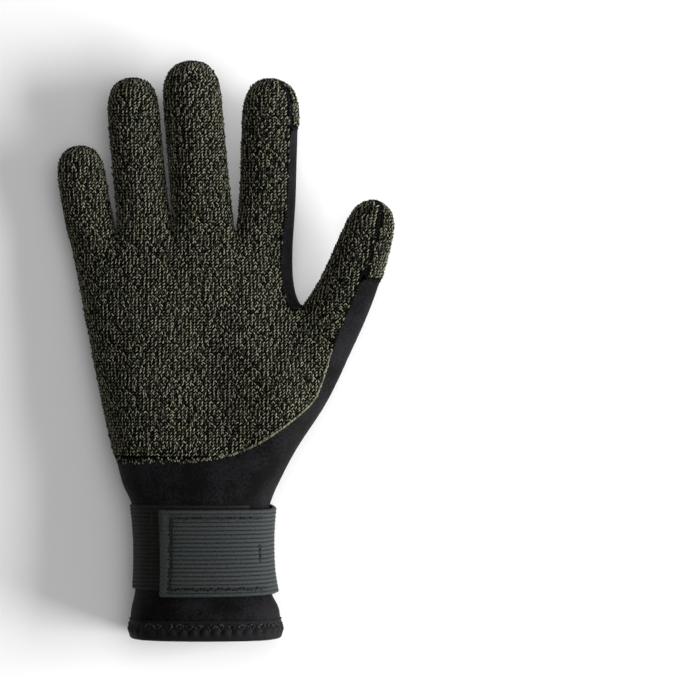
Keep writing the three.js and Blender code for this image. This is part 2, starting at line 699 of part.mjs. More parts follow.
function hookGeometry(grid) {
  const measure = cuffMeasure(grid, STRAP_ROW);
  const from = measure.columnAt(TAB_LENGTH - HOOK_INSET);
  const to = measure.columnAt(TAB_LENGTH - HOOK_INSET - HOOK_LENGTH);
  const ups = evenly(STRAP_RISE + HOOK_INSET, strapTop - HOOK_INSET, STRAP_STEPS);
  const levels = () => [HOOK_LEVEL, HOOK_LEVEL + HOOK_THICK];
  return stripGeometry(grid, ups, from, to, levels, tabSlope(measure));
}

// Folded tape over the raw edge of the hem. The table gives the section: row of the cuff grid,
// side of the wall, and how far the point lies off the wall and past the hem.
function bindingGeometry(grid) {
  const top = 2 * levelOf("binding");
  const near = REST_GAP;
  const far = REST_GAP + BINDING_THICK;
  const section = [
    { row: top, outside: true, off: far, past: 0 },
    { row: top / 2, outside: true, off: far, past: 0 },
    { row: 0, outside: true, off: far, past: 0 },
    { row: 0, outside: true, off: 0, past: far },
    { row: 0, outside: false, off: 0, past: far },
    { row: 0, outside: false, off: far, past: 0 },
    { row: top / 2, outside: false, off: far, past: 0 },
    { row: top, outside: false, off: far, past: 0 },
    { row: top, outside: false, off: near, past: 0 },
    { row: top / 2, outside: false, off: near, past: 0 },
    { row: 0, outside: false, off: near, past: near },
    { row: 0, outside: true, off: near, past: near },
    { row: top / 2, outside: true, off: near, past: 0 },
    { row: top, outside: true, off: near, past: 0 },
  ];
  const size = grid[0].length;
  const points = [];
  for (let column = 0; column < size; column++) {
    const out = onCuff(grid, 0, column, 0).sub(onCuff(grid, 1, column, 0)).normalize();
    for (const { row, outside, off, past } of section) {
      const lift = outside ? off : -WALL - off;
      points.push(onCuff(grid, row, column, lift).addScaledVector(out, past));
    }
  }
  const n = section.length;
  const faces = [];
  for (let c = 0; c < size; c++) {
    for (let i = 0; i < n; i++) {
      const next = ((c + 1) % size) * n;
      faces.push([c * n + i, c * n + ((i + 1) % n), next + ((i + 1) % n), next + i]);
    }
  }
  return facingOut(solidGeometry(points, faces));
}

// The blank care label lies on the lining of the gusset, its end under the binding.
function labelGeometry(grid) {
  const from = BINDING_WIDTH + REST_GAP;
  const ups = evenly(from, from + LABEL_LENGTH, STRAP_STEPS);
  const centre = 2 * backAt(GUSSET_COLUMNS[1]);
  const row = 2 * levelOf("strap_foot");
  const width = onCuff(grid, row, centre - 1, 0).distanceTo(onCuff(grid, row, centre + 1, 0)) / 2;
  const half = LABEL_WIDTH / 2 / width;
  const low = -WALL - REST_GAP;
  return stripGeometry(grid, ups, centre - half, centre + half, () => [low - LABEL_THICK, low]);
}

const MATERIALS = {
  knit: new THREE.MeshStandardMaterial({ color: 0x46463a, roughness: 0.95, metalness: 0 }),
  neoprene: new THREE.MeshStandardMaterial({ color: 0x1b1b1d, roughness: 0.85, metalness: 0 }),
  webbing: new THREE.MeshStandardMaterial({ color: 0x2c2e2e, roughness: 0.9, metalness: 0 }),
  hook: new THREE.MeshStandardMaterial({ color: 0x101011, roughness: 0.8, metalness: 0 }),
  binding: new THREE.MeshStandardMaterial({ color: 0x161618, roughness: 0.8, metalness: 0 }),
  label: new THREE.MeshStandardMaterial({ color: 0xe8e9e6, roughness: 0.7, metalness: 0 }),
};

function namedMesh(name, geometry, material) {
  const mesh = new THREE.Mesh(geometry, material);
  mesh.name = name;
  return mesh;
}

function buildGlove() {
  const rings = buildCage();
  const skin = shapeSkin(smooth(cage));
  const grid = cuffGrid(skin, rings);
  const glove = new THREE.Group();
  const knitted = ["palm_panel", ...[...DIGITS, THUMB].map((digit) => `tip_cap_${digit.name}`)];
  for (const name of knitted) {
    glove.add(namedMesh(name, panelGeometry(skin, name, WALL, KNIT_PROUD), MATERIALS.knit));
  }
  for (const name of ["back_shell", "back_middle_panel", "back_ring_panel", "cuff_gusset"]) {
    glove.add(namedMesh(name, panelGeometry(skin, name, WALL, 0), MATERIALS.neoprene));
  }
  glove.add(namedMesh("wrist_strap", strapGeometry(grid), MATERIALS.webbing));
  glove.add(namedMesh("hook_patch", hookGeometry(grid), MATERIALS.hook));
  glove.add(namedMesh("cuff_binding", bindingGeometry(grid), MATERIALS.binding));
  glove.add(namedMesh("care_label", labelGeometry(grid), MATERIALS.label));
  const box = new THREE.Box3().setFromObject(glove);
  glove.position.set(-(box.min.x + box.max.x) / 2, -(box.min.y + box.max.y) / 2, -box.min.z);
  return glove;
}

export default buildGlove();
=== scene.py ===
import json
import math

import bmesh
import bpy
import numpy as np
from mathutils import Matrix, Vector
from mathutils.bvhtree import BVHTree
from mathutils.kdtree import KDTree

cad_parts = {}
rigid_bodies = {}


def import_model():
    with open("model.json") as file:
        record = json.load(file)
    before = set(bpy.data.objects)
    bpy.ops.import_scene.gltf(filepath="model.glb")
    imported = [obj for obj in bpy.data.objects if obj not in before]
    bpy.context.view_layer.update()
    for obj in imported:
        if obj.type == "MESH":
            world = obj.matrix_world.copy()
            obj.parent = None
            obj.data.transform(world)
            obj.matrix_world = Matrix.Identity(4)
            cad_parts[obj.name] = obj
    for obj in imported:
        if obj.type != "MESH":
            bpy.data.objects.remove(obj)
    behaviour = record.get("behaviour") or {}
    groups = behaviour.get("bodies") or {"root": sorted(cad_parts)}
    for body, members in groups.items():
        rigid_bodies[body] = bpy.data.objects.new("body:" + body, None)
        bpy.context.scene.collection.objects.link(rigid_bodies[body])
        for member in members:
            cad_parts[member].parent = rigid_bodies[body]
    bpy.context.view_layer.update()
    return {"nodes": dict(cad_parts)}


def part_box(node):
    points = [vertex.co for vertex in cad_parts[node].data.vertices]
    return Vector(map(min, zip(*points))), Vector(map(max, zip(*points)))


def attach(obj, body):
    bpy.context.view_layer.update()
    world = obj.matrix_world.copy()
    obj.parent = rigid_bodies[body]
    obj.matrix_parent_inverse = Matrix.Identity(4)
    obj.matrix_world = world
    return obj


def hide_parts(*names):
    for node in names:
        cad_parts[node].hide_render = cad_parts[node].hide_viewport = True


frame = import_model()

bl_info = {
    "name": "Diving glove",
    "version": (1, 0, 0),
    "blender": (4, 5, 0),
    "location": "View3D > Sidebar > Glove",
    "description": "Dresses the glove's packed frame in neoprene, knit, webbing and thread",
    "category": "Object",
}

# Each panel's cloth: the rectangle that it is cut from, in metres, and its area in square metres
NEOPRENE_PANELS = {
    "back_shell": ((0.25, 0.24), 0.029),
    "back_middle_panel": ((0.045, 0.11), 0.0034),
    "back_ring_panel": ((0.045, 0.11), 0.0032),
    "cuff_gusset": ((0.041, 0.06), 0.00142),
}
KNIT_PANELS = {
    "palm_panel": ((0.17, 0.19), 0.0225),
    "tip_cap_little": ((0.036, 0.022), 0.00062),
    "tip_cap_ring": ((0.04, 0.024), 0.0008),
    "tip_cap_middle": ((0.045, 0.025), 0.00095),
    "tip_cap_index": ((0.044, 0.025), 0.0009),
    "tip_cap_thumb": ((0.052, 0.038), 0.0014),
}
WALL = 0.003
KNIT_WALL = 0.00335
SEAM_REACH = 0.0006  # metres that the lining reaches past the cut edge, into the seam
NEIGHBOUR_REACH = 0.0035  # metres, the furthest that two panels' rims are apart at a seam
MERGE = 0.00001  # metres, the distance at which two points are one
OUTSIDE, LINING, CUT_EDGE = 0, 1, 2

# Middle lines of the digits from root to tip, in millimetres in the glove's frame
DIGITS = {
    "little": (
        (-61.8, 49.2, 14.6), (-64.2, 60.8, 15.8), (-66.1, 72.3, 17.6),
        (-67.8, 83.9, 19.8), (-69.0, 95.4, 22.4),
    ),
    "ring": (
        (-36.9, 49.2, 15.3), (-39.3, 68.7, 17.1), (-41.2, 88.2, 19.6),
        (-42.7, 107.7, 23.0), (-43.7, 127.0, 27.0),
    ),
    "middle": (
        (-9.8, 49.7, 15.4), (-11.7, 71.2, 17.0), (-13.5, 92.5, 19.6),
        (-15.2, 113.8, 23.1), (-16.8, 135.0, 27.5),
    ),
    "index": (
        (19.2, 51.3, 14.7), (19.8, 70.3, 16.0), (20.4, 89.2, 18.1),
        (21.0, 108.0, 21.0), (21.6, 126.7, 24.6),
    ),
    "thumb": (
        (40.5, -3.7, 17.2), (50.3, 13.7, 19.6), (58.7, 31.7, 22.8),
        (65.5, 50.4, 26.6), (70.8, 69.5, 31.1),
    ),
}
ARM = ((-9.5, -165, 21), (-10, -110, 20.5), (-11, -70, 20))  # millimetres
PAST_ROOT = 6  # millimetres along a digit, from where its stitches are a piece of their own
TOWARDS_WRIST = 6  # millimetres, so that the webs between fingers also face away from the lines

# A knit stitch: where each leg of its V stands and how it leans, as shares of the wale pitch, or of
# the course pitch for its height, and its shades from the dark yarn's colour to the light one's
LEG_ASIDE, LEG_LIFT = 0.24, 0.06
LEG_HALF_HEIGHT, LEG_LEAN, LEG_TOP_LIFT = 0.52, 0.27, 0.1
PALE_THICKNESS, DARK_THICKNESS = 0.165, 0.16
LEG_DRIFT, LEG_TURN = 0.075, 0.22
PALE_SHADE, PALE_SPREAD = 0.72, 0.26
DARK_SHADE, DARK_SPREAD = 0.04, 0.07
SWAPPED_SHARE = 0.22  # of the stitches, those that show their pale leg on the left
LEAST_PITCH, MOST_PITCH = 0.7, 1.3  # shares of the pitch that a stitch may be drawn in or out to

# Stitches of the seams, in metres
DARK_SEAM_PITCH = 0.0016
LINING_SEAM_PITCH = 0.0023
ROLLED_EDGE_PITCH = 0.0004
SEAM_THREAD = 0.00024
THUMB_SIDE_OF_HEEL = (-0.03, 0.015)  # x in metres, where the ragged edge turns into a rolled one

# The wrist strap, in metres
TAB_STITCH_INSET = 0.0064  # of the box stitch from the tab's end
TAB_STITCH_SIDE = 0.0036  # of the box stitch from the webbing's long edges
TAB_STITCH_LENGTH = 0.0428
TAB_STITCH_PITCH = 0.0016
TAB_BAR = (0.0154, 0.0238)  # from the lower edge, the short bar at the box stitch's right
STRAP_SPREAD = 0.0026  # that the webbing is wider than the smoothed solid, for its 40 mm
SOLID_RIM = 0.0012  # of the smoothed solid's rounded edge, which isn't measured
START_STITCH_LINE = -0.0335  # where the line of stitches shows beside the tab
COLUMN_PITCH = 0.0016
END_COLUMNS = (0.00001, 0.0004, 0.0009)
STITCH_COLUMNS = (-0.0009, -0.0004, 0, 0.0004, 0.0009)
TAB_COLUMN = 3  # the column whose edges are the tab's own
RIB_STEPS = (0, 0.12, 0.3, 0.5, 0.7, 0.88)
# Painted shade: from this share of the strap's length on to its start under the tab, the webbing's colour is
# drawn darker; the darker part is the same webbing.
PAINTED_SHADE_SHARE = (0.47, 0.49)  # of the strap's length, where the grey tab turns into black elastic

# The hem, in metres
HEM_DOME = 0.0006
HEM_PIT = 0.0008
HEM_FADE = 0.006  # height above the floor under which the tape stays flat
HEM_LOWEST = 0.0007  # height of the lowest strands' middles

# The photograph's frame, in metres
FRAME_WIDTH = 0.3269
FRAME_MIDDLE = (0.05806, -0.00014)
OUTLINE_HEIGHT = 0.021
LENS, SENSOR = 200, 36

# Lights: place and size in metres, power in watts
LIGHTS = (
    ("key_light", (3.2, -0.4, 1.2), 2.2, 265),
    ("top_light", (0.3, 0.3, 1.9), 1.2, 12.5),
)
LIGHTS_AIM = (0.02, 0, 0.02)
SKY_STRENGTH = 0.22


def linear(hex_colour):
    """An sRGB hex colour as linear red, green and blue."""
    channels = [int(hex_colour[i : i + 2], 16) / 255 for i in (1, 3, 5)]
    return tuple(c / 12.92 if c <= 0.04045 else ((c + 0.055) / 1.055) ** 2.4 for c in channels)


def length_of(name, description, value):
    """A length that a user may change, in metres."""
    return bpy.props.FloatProperty(
        name=name, description=description, default=value,
        min=0, precision=5, subtype="DISTANCE", unit="LENGTH",
    )


def colour_of(name, description, hex_colour):
    """A colour that a user may change."""
    return bpy.props.FloatVectorProperty(
        name=name, description=description, default=linear(hex_colour), min=0, max=1, size=3, subtype="COLOR"
    )


class GloveSizes(bpy.types.PropertyGroup):
    wale: length_of("Wale pitch", "Distance between two columns of knit stitches", 0.0018)
    course: length_of("Course pitch", "Distance between two rows of knit stitches", 0.00142)
    seam_clear: length_of("Seam margin", "How far the knit's stitches stay off the seams", 0.001)
    rib: length_of("Rib pitch", "Distance between two ribs of the webbing", 0.0019)
    rib_height: length_of("Rib height", "Height of the webbing's ribs over the grooves", 0.00045)
    seam_pitch: length_of("Seam stitch pitch", "Distance between the stitches on the back", 0.0018)
    hem_pitch: length_of("Hem stitch pitch", "Distance between the overlock stitches of the hem", 0.005)
    edge_radius: length_of("Edge radius", "How far the panels' edges are rounded at the seams", 0.0005)


class GloveColours(bpy.types.PropertyGroup):
    yarn_dark: colour_of("Yarn, dark", "The black strands of the knit", "#0a0a06")
    yarn_light: colour_of("Yarn, light", "The pale flecks of the knit", "#84836f")
    yarn_ground: colour_of("Knit ground", "What shows between the stitches", "#040403")
    neoprene: colour_of("Neoprene", "Jersey face of the neoprene", "#09090b")
    lining: colour_of("Lining", "Silver face of the neoprene inside the glove", "#a9b3b1")
    webbing: colour_of("Webbing", "Ribbed webbing of the tab", "#262929")
    # Painted shade: a darker copy of the webbing's colour, for the strap from the middle of its length to its
    # start under the tab.
    painted_shade_webbing: colour_of("Painted_shade_webbing", "Ribbed elastic under the tab", "#131311")
    seam_thread: colour_of("Seam thread", "Thread of the seams on the back", "#777c7b")
    black_thread: colour_of("Black thread", "Thread of hem, strap and gusset", "#0c0c0d")
    label: colour_of("Label", "Satin care label", "#eef1f3")
    floor: colour_of("Floor", "The pale surface that the glove lies on", "#f4f4f4")


def add_node(material, kind, values=None, **settings):
    """Adds a shader node, sets its properties, and fills its inputs or links them to an output."""
    tree = material.node_tree
    made = tree.nodes.new(kind)
    for name, value in settings.items():
        setattr(made, name, value)
    for name, value in (values or {}).items():
        socket = made.inputs[name]
        if isinstance(value, bpy.types.NodeSocket):
            tree.links.new(value, socket)
        elif hasattr(socket.default_value, "__len__") and len(socket.default_value) == 4:
            socket.default_value = (*value, 1) if len(value) == 3 else value
        else:
            socket.default_value = value
    return made


def surface(name):
    """A new material with an empty node tree."""
    material = bpy.data.materials.new(name)
    material.use_nodes = True
    material.node_tree.nodes.clear()
    return material


def finished(material, factor, tones, finish, relief=None, invert=False):
    """Gives a material its shader and output: its two tones, blended by a factor's output, the
    values of its finish, and its relief, which is a height's output, a strength and a depth in
    metres."""
    dark, light = tones
    mix = add_node(material, "ShaderNodeMix", {0: factor, 6: dark, 7: light}, data_type="RGBA")
    values = {"Base Color": mix.outputs[2], **finish}
    if relief is not None:
        height, strength, depth = relief
        levels = {"Height": height, "Strength": strength, "Distance": depth}
        bump = add_node(material, "ShaderNodeBump", levels, invert=invert)
        values["Normal"] = bump.outputs["Normal"]
    shader = add_node(material, "ShaderNodeBsdfPrincipled", values)
    add_node(material, "ShaderNodeOutputMaterial", {"Surface": shader.outputs["BSDF"]})
    return material


def shades_of(colour, *shares):
    """Darker and lighter versions of one colour."""
    return [tuple(min(channel * share, 1) for channel in colour) for share in shares]


def by_size(millimetres):
    """The scale at which a pattern's features have a size, in millimetres."""
    return 1000 / millimetres


def patterned(name, pattern, tones, relief, finish, height="Fac", invert=False):
    """A surface with one fine pattern in its own coordinates, which gives both its two tones and
    its relief. The pattern is a kind of texture, the size of its features in millimetres, its
    values and its settings, and the relief a strength and a depth in metres."""
    material = surface(name)
    kind, millimetres, values, settings = pattern
    place = add_node(material, "ShaderNodeTexCoord").outputs["Object"]
    values = {"Vector": place, "Scale": by_size(millimetres), **values}
    level = add_node(material, kind, values, **settings).outputs[height]
    return finished(material, level, tones, finish, (level, *relief), invert)


def knit_yarn(colours):
    """Melange yarn of aramid and polyester: matt, dark, with pale strands that make the flecks."""
    material = surface("melange_knit_yarn")
    shade = add_node(material, "ShaderNodeAttribute", attribute_name="shade")
    tones = colours.yarn_dark, colours.yarn_light
    finish = {"Roughness": 0.85, "Specular IOR Level": 0.1, "Sheen Weight": 0.01}
    return finished(material, shade.outputs["Fac"], tones, finish)


def knit_ground(colours):
    """The back of the knit's loops: nearly black between the stitches, rough as wool."""
    return patterned(
        "knit_ground",
        ("ShaderNodeTexNoise", 0.83333, {"Detail": 3, "Roughness": 0.6}, {}),
        shades_of(colours.yarn_ground, 0.5, 1),
        (0.5, 0.0004),
        {"Roughness": 0.95, "Specular IOR Level": 0.03},
    )


def jersey_neoprene(colours):
    """Closed-cell neoprene faced with brushed nylon jersey: matt black, with a soft pale bloom of
    fibre where it turns away."""
    material = surface("jersey_faced_neoprene")
    place = add_node(material, "ShaderNodeTexCoord").outputs["Object"]
    # The jersey's own loops are 0.3 mm, too fine to show, so its grain is drawn at 1.25 mm.
    patterns = []
    for millimetres, detail, roughness in ((1.25, 4, 0.65), (16.6667, 3, 0.5)):
        values = {"Vector": place, "Scale": by_size(millimetres), "Detail": detail, "Roughness": roughness}
        patterns.append(add_node(material, "ShaderNodeTexNoise", values).outputs["Fac"])
    grain, cloud = patterns
    mixed = add_node(material, "ShaderNodeMath", {0: grain, 1: cloud}, operation="MULTIPLY")
    limits = {"Value": mixed.outputs["Value"], "From Min": 0.18, "From Max": 0.33}
    spread = add_node(material, "ShaderNodeMapRange", limits)
    tones = shades_of(colours.neoprene, 0.15, 2.7)
    finish = {"Roughness": 0.8, "Specular IOR Level": 0.08, "Sheen Weight": 0.022, "Sheen Roughness": 0.4}
    return finished(material, spread.outputs["Result"], tones, finish, (grain, 0.55, 0.0003))


def silver_lining(colours):
    """Titanium-coated lining: a smooth silver-green skin with a fine leathery mottle."""
    material = surface("silver_coated_lining")
    place = add_node(material, "ShaderNodeTexCoord").outputs["Object"]
    values = {"Vector": place, "Scale": by_size(2.381), "Detail": 5, "Roughness": 0.6}
    mottle = add_node(material, "ShaderNodeTexNoise", values)
    cells = add_node(material, "ShaderNodeTexVoronoi", {"Vector": place, "Scale": by_size(1.1111)})
    tones = shades_of(colours.lining, 0.62, 1.3)
    relief = cells.outputs["Distance"], 0.35, 0.0003
    return finished(material, mottle.outputs["Fac"], tones, {"Roughness": 0.42, "Metallic": 0.25}, relief)


def foam_edge():
    """The cut edge of the foam: dead black, pitted by its cells."""
    return patterned(
        "cut_neoprene_foam",
        ("ShaderNodeTexVoronoi", 0.45455, {}, {}),
        (linear("#070707"), linear("#191919")),
        (0.6, 0.0002),
        {"Roughness": 0.95, "Specular IOR Level": 0.04},
        height="Distance",
    )


def ribbed_webbing(colours):
    """Woven nylon webbing: dull filament yarn that breaks up into 1 mm floats along its ribs, with painted
    light and shade: paler on the tops of the ribs, darker in their grooves and the box stitch's dents,
    and painted darker still, as shade, from the middle of its length to its start under the tab."""
    material = surface("ribbed_nylon_webbing")
    cloth = add_node(material, "ShaderNodeUVMap", uv_map="cloth")
    scales = {0: cloth.outputs["UV"], 1: (by_size(1.1), by_size(0.55), 1)}
    floats = add_node(material, "ShaderNodeVectorMath", scales, operation="MULTIPLY")
    values = {"Vector": floats.outputs["Vector"], "Scale": 1, "Detail": 3, "Roughness": 0.7}
    fibre = add_node(material, "ShaderNodeTexNoise", values)
    limits = {"Value": fibre.outputs["Fac"], "From Min": 0.38, "From Max": 0.62}
    broken = add_node(material, "ShaderNodeMapRange", limits)
    # The ribs' painted light and shade, half mixed with the floats of the fibre: it sets the colour and is
    # also the bump's height.
    painted_rib_light = add_node(material, "ShaderNodeAttribute", attribute_name="painted_rib_light")
    shares = {0: 0.5, 2: broken.outputs["Result"], 3: painted_rib_light.outputs["Fac"]}
    palest = add_node(material, "ShaderNodeMix", shares, data_type="FLOAT").outputs[0]
    shade = add_node(material, "ShaderNodeAttribute", attribute_name="shade")
    # The first two tones are the webbing's colour in painted shade, for the strap's start; the second two are
    # its own colour.
    tones = []
    for dark, light in (shades_of(colours.painted_shade_webbing, 0.35, 1.5), shades_of(colours.webbing, 0.1, 1.95)):
        mix = add_node(material, "ShaderNodeMix", {0: palest, 6: dark, 7: light}, data_type="RGBA")
        tones.append(mix.outputs[2])
    finish = {"Roughness": 0.7, "Specular IOR Level": 0.15, "Sheen Weight": 0.02, "Sheen Roughness": 0.4}
    return finished(material, shade.outputs["Fac"], tones, finish, (palest, 0.6, 0.0003))


def thread(name, colour, darkest, palest):
    """Twisted polyester thread: slightly glossy, each stitch a little lighter or darker."""
    material = surface(name)
    shade = add_node(material, "ShaderNodeAttribute", attribute_name="shade")
    finish = {"Roughness": 0.6, "Specular IOR Level": 0.15}
    return finished(material, shade.outputs["Fac"], shades_of(colour, darkest, palest), finish)


def woven_tape(colours):
    """Folded nylon tape over the raw hem: tight, dull and slightly ridged."""
    return patterned(
        "folded_nylon_tape",
        ("ShaderNodeTexNoise", 1.1111, {"Detail": 4, "Roughness": 0.7}, {}),
        shades_of(colours.neoprene, 0.5, 1.9),
        (0.6, 0.0004),
        {"Roughness": 0.75, "Specular IOR Level": 0.12, "Sheen Weight": 0.01},
    )


def hook_tape():
    """Moulded nylon hooks in rows: black, with small hard glints."""
    return patterned(
        "nylon_hook_tape",
        ("ShaderNodeTexVoronoi", 1.25, {"Randomness": 0.25}, {}),
        (linear("#1c1c1c"), linear("#0a0a0a")),
        (0.9, 0.0005),
        {"Roughness": 0.4},
        height="Distance",
        invert=True,
    )


def satin(colours):
    """Woven satin label: smooth white with a soft sheen and the faint grain of its weft."""
    return patterned(
        "polyester_satin",
        ("ShaderNodeTexWave", 1.42857, {"Distortion": 0.6, "Detail": 1}, {"bands_direction": "Y"}),
        shades_of(colours.label, 0.9, 1),
        (0.2, 0.0001),
        {"Roughness": 0.4, "Sheen Weight": 0.2},
    )


def pale_floor(colours):
    """Seamless white paper: plain and matt."""
    material = surface("white_paper_floor")
    values = {"Base Color": colours.floor, "Roughness": 0.9}
    shader = add_node(material, "ShaderNodeBsdfPrincipled", values)
    add_node(material, "ShaderNodeOutputMaterial", {"Surface": shader.outputs["BSDF"]})
    return material


def only(obj=None):
    """Makes obj the one selected and active object, or selects nothing."""
    for other in bpy.context.view_layer.objects:
        other.select_set(False)
    if obj is not None:
        obj.select_set(True)
        bpy.context.view_layer.objects.active = obj


def add_object(name, data):
    """Links a new object whose data are already in the glove's frame."""
    obj = bpy.data.objects.new(name, data)
    bpy.context.scene.collection.objects.link(obj)
    return obj


def copied_node(node, name):
    """A new mesh for a piece, and its shape in edit form: a CAD node's with its doubles merged."""
    mesh = frame["nodes"][node].data.copy()
    mesh.name = name
    mesh.materials.clear()
    bm = bmesh.new()
    bm.from_mesh(mesh)
    bmesh.ops.remove_doubles(bm, verts=bm.verts, dist=MERGE)
    return mesh, bm


def crease(bm, weight_of):
    """Sets how sharp each edge stays when the piece is smoothed."""
    layer = bm.edges.layers.float.get("crease_edge") or bm.edges.layers.float.new("crease_edge")
    for edge in bm.edges:
        edge[layer] = weight_of(edge)


def smoothed(name, mesh, bm, levels):
    """A new object with a subdivision surface applied to its mesh."""
    bm.to_mesh(mesh)
    bm.free()
    obj = add_object(name, mesh)
    modifier = obj.modifiers.new("smooth", "SUBSURF")
    modifier.levels = levels
    modifier.render_levels = levels
    only(obj)
    bpy.ops.object.modifier_apply(modifier=modifier.name)
    return obj


def strip_copy(node, name, levels, sharpness):
    """A finer copy of a strip of tape or webbing, with its sharp edges kept."""
    mesh, bm = copied_node(node, name)
    bmesh.ops.join_triangles(
        bm, faces=bm.faces, angle_face_threshold=math.radians(40), angle_shape_threshold=math.radians(75)
    )
    crease(bm, lambda edge: sharpness if edge.calc_face_angle(0) > math.radians(50) else 0)
    for face in bm.faces:
        face.smooth = True
        face.material_index = 0
    obj = smoothed(name, mesh, bm, levels)
    bpy.ops.object.shade_smooth_by_angle(angle=math.radians(50))
    return obj


def edited(obj):
    """A copy of an object's mesh in edit form."""
    bm = bmesh.new()
    bm.from_mesh(obj.data)
    return bm


def faces_tree(obj):
    """A tree for finding where lines meet an object's faces."""
    bm = edited(obj)
    tree = BVHTree.FromBMesh(bm)
    bm.free()
    return tree


def points_tree(points, indices):
    """A tree for finding the nearest of some of the points."""
    tree = KDTree(len(indices))
    for index in indices:
        tree.insert(Vector(points[index]), index)
    tree.balance()
    return tree


def points_of(mesh):
    """A mesh's points as an array."""
    flat = np.empty(len(mesh.vertices) * 3)
    mesh.vertices.foreach_get("co", flat)
    return flat.reshape(-1, 3)


def face_of(obj, slot=OUTSIDE):
    """A panel's points, the triangles of its faces with one material, and the points' normals on
    those triangles."""
    mesh = obj.data
    points = points_of(mesh)
    mesh.calc_loop_triangles()
    corners = np.empty(len(mesh.loop_triangles) * 3, int)
    owners = np.empty(len(mesh.loop_triangles), int)
    slots = np.empty(len(mesh.polygons), int)
    mesh.loop_triangles.foreach_get("vertices", corners)
    mesh.loop_triangles.foreach_get("polygon_index", owners)
    mesh.polygons.foreach_get("material_index", slots)
    triangles = corners.reshape(-1, 3)[slots[owners] == slot]
    a, b, c = (points[triangles[:, i]] for i in range(3))
    facing = np.cross(b - a, c - a)
    normals = np.zeros_like(points)
    for corner in range(3):
        np.add.at(normals, triangles[:, corner], facing)
    return points, triangles, unit(normals)


def unit(vectors):
    """Vectors of length one."""
    return vectors / np.maximum(np.linalg.norm(vectors, axis=1, keepdims=True), 1e-12)


def distances_along(line):
    """How far along a line of points each of them lies."""
    return np.concatenate([[0], np.cumsum(np.linalg.norm(line[1:] - line[:-1], axis=1))])


def smoothstep(low, high, value):
    """A share that eases from 0 at low to 1 at high."""
    share = np.clip((value - low) / (high - low), 0, 1)
    return share * share * (3 - 2 * share)


def on_line(line, places):
    """Where points lie along a middle line: the nearest point on it, how far along it that is,
    and its direction there. Points beyond its ends are carried on straight."""
    line = np.array(line, float)
    starts, ends = line[:-1], line[1:]
    ways = ends - starts
    lengths = np.linalg.norm(ways, axis=1)
    before = distances_along(line)
    best = None
    for i in range(len(ways)):
        along = (places - starts[i]) @ ways[i] / lengths[i] ** 2
        low = -np.inf if i == 0 else 0
        high = np.inf if i == len(ways) - 1 else 1
        along = np.clip(along, low, high)
        nearest = starts[i] + along[:, None] * ways[i]
        far = np.linalg.norm(places - nearest, axis=1)
        way = np.broadcast_to(ways[i] / lengths[i], places.shape)
        found = (far, nearest, before[i] + along * lengths[i], way)
        if best is None:
            best = [values.copy() for values in found]
            continue
        closer = far < best[0]
        for kept, values in zip(best, found):
            kept[closer] = values[closer]
    return best[1], best[2], best[3]


def along_digits(places):
    """For points in millimetres, the nearest digit's index and how far along it they lie."""
    far, reached = [], []
    for line in DIGITS.values():
        near, along, way = on_line(line, places)
        held = np.where((along < 0)[:, None], np.array(line[0]), near)
        far.append(np.linalg.norm(places - held, axis=1))
        reached.append(along)
    nearest = np.argmin(far, axis=0)
    return nearest, np.array(reached)[nearest, np.arange(len(places))]


def lay_flat(points, triangles, upwards):
    """Each point's place on the flat cloth that a panel was cut from, in metres. The wales run
    upwards all over the panel, and the cloth is stretched as little as that allows: the corners'
    places are a least-squares fit, found by conjugate gradients."""
    corners = points[triangles]
    opposite = np.roll(corners, 1, axis=1) - np.roll(corners, -1, axis=1)
    facing = np.cross(corners[:, 1] - corners[:, 0], corners[:, 2] - corners[:, 0])
    doubled = np.maximum(np.linalg.norm(facing, axis=1), 1e-12)
    facing /= doubled[:, None]
    slopes = np.cross(facing[:, None], opposite) / doubled[:, None, None]
    up = upwards - facing * (facing @ upwards)[:, None]
    weight = doubled * (np.einsum("ij,ij->i", up, up) + 0.02)
    up = unit(up)
    wanted = np.stack([np.cross(up, facing), up], axis=2)
    pull = np.einsum("t,tic,tcs->tis", weight, slopes, wanted)
    joined = np.einsum("t,tic,tjc->tij", weight, slopes, slopes)

    def gathered(values):
        owners = triangles.ravel()
        sums = [np.bincount(owners, values[..., side].ravel(), len(points)) for side in (0, 1)]
        return np.stack(sums, axis=1)

    own = np.einsum("tii->ti", joined)
    scale = np.maximum(gathered(np.stack([own, own], axis=2)), 1e-12)
    across = np.cross(upwards, (0, 0, 1))
    cloth = np.stack([points @ (across / np.linalg.norm(across)), points @ upwards], axis=1)
    left_over = gathered(pull) - gathered(np.einsum("tij,tjs->tis", joined, cloth[triangles]))
    eased = left_over / scale
    step = eased.copy()
    size = (left_over * eased).sum(axis=0)
    first_size = size.copy()
    for _ in range(2500):
        pushed = gathered(np.einsum("tij,tjs->tis", joined, step[triangles]))
        reach = size / np.maximum((step * pushed).sum(axis=0), 1e-30)
        cloth += reach * step
        left_over -= reach * pushed
        eased = left_over / scale
        new_size = (left_over * eased).sum(axis=0)
        if np.all(new_size < first_size * 1e-9):
            break
        step = eased + new_size / np.maximum(size, 1e-30) * step
        size = new_size
    return cloth


def is_outside(points, partners):
    """True for the points of a panel's outer face: those further from the hand's middle lines than
    the point across the wall."""
    millimetres = points * 1000
    middle = (millimetres + millimetres[partners]) / 2
    best = np.full(len(points), np.inf)
    inner = np.zeros_like(points)
    for digit in DIGITS.values():
        near, along, way = on_line(ARM + digit, middle)
        far = np.linalg.norm(middle - near, axis=1)
        closer = far < best
        best[closer] = far[closer]
        inner[closer] = (near - TOWARDS_WRIST * way)[closer]
    return np.einsum("ij,ij->i", millimetres - millimetres[partners], middle - inner) > 0


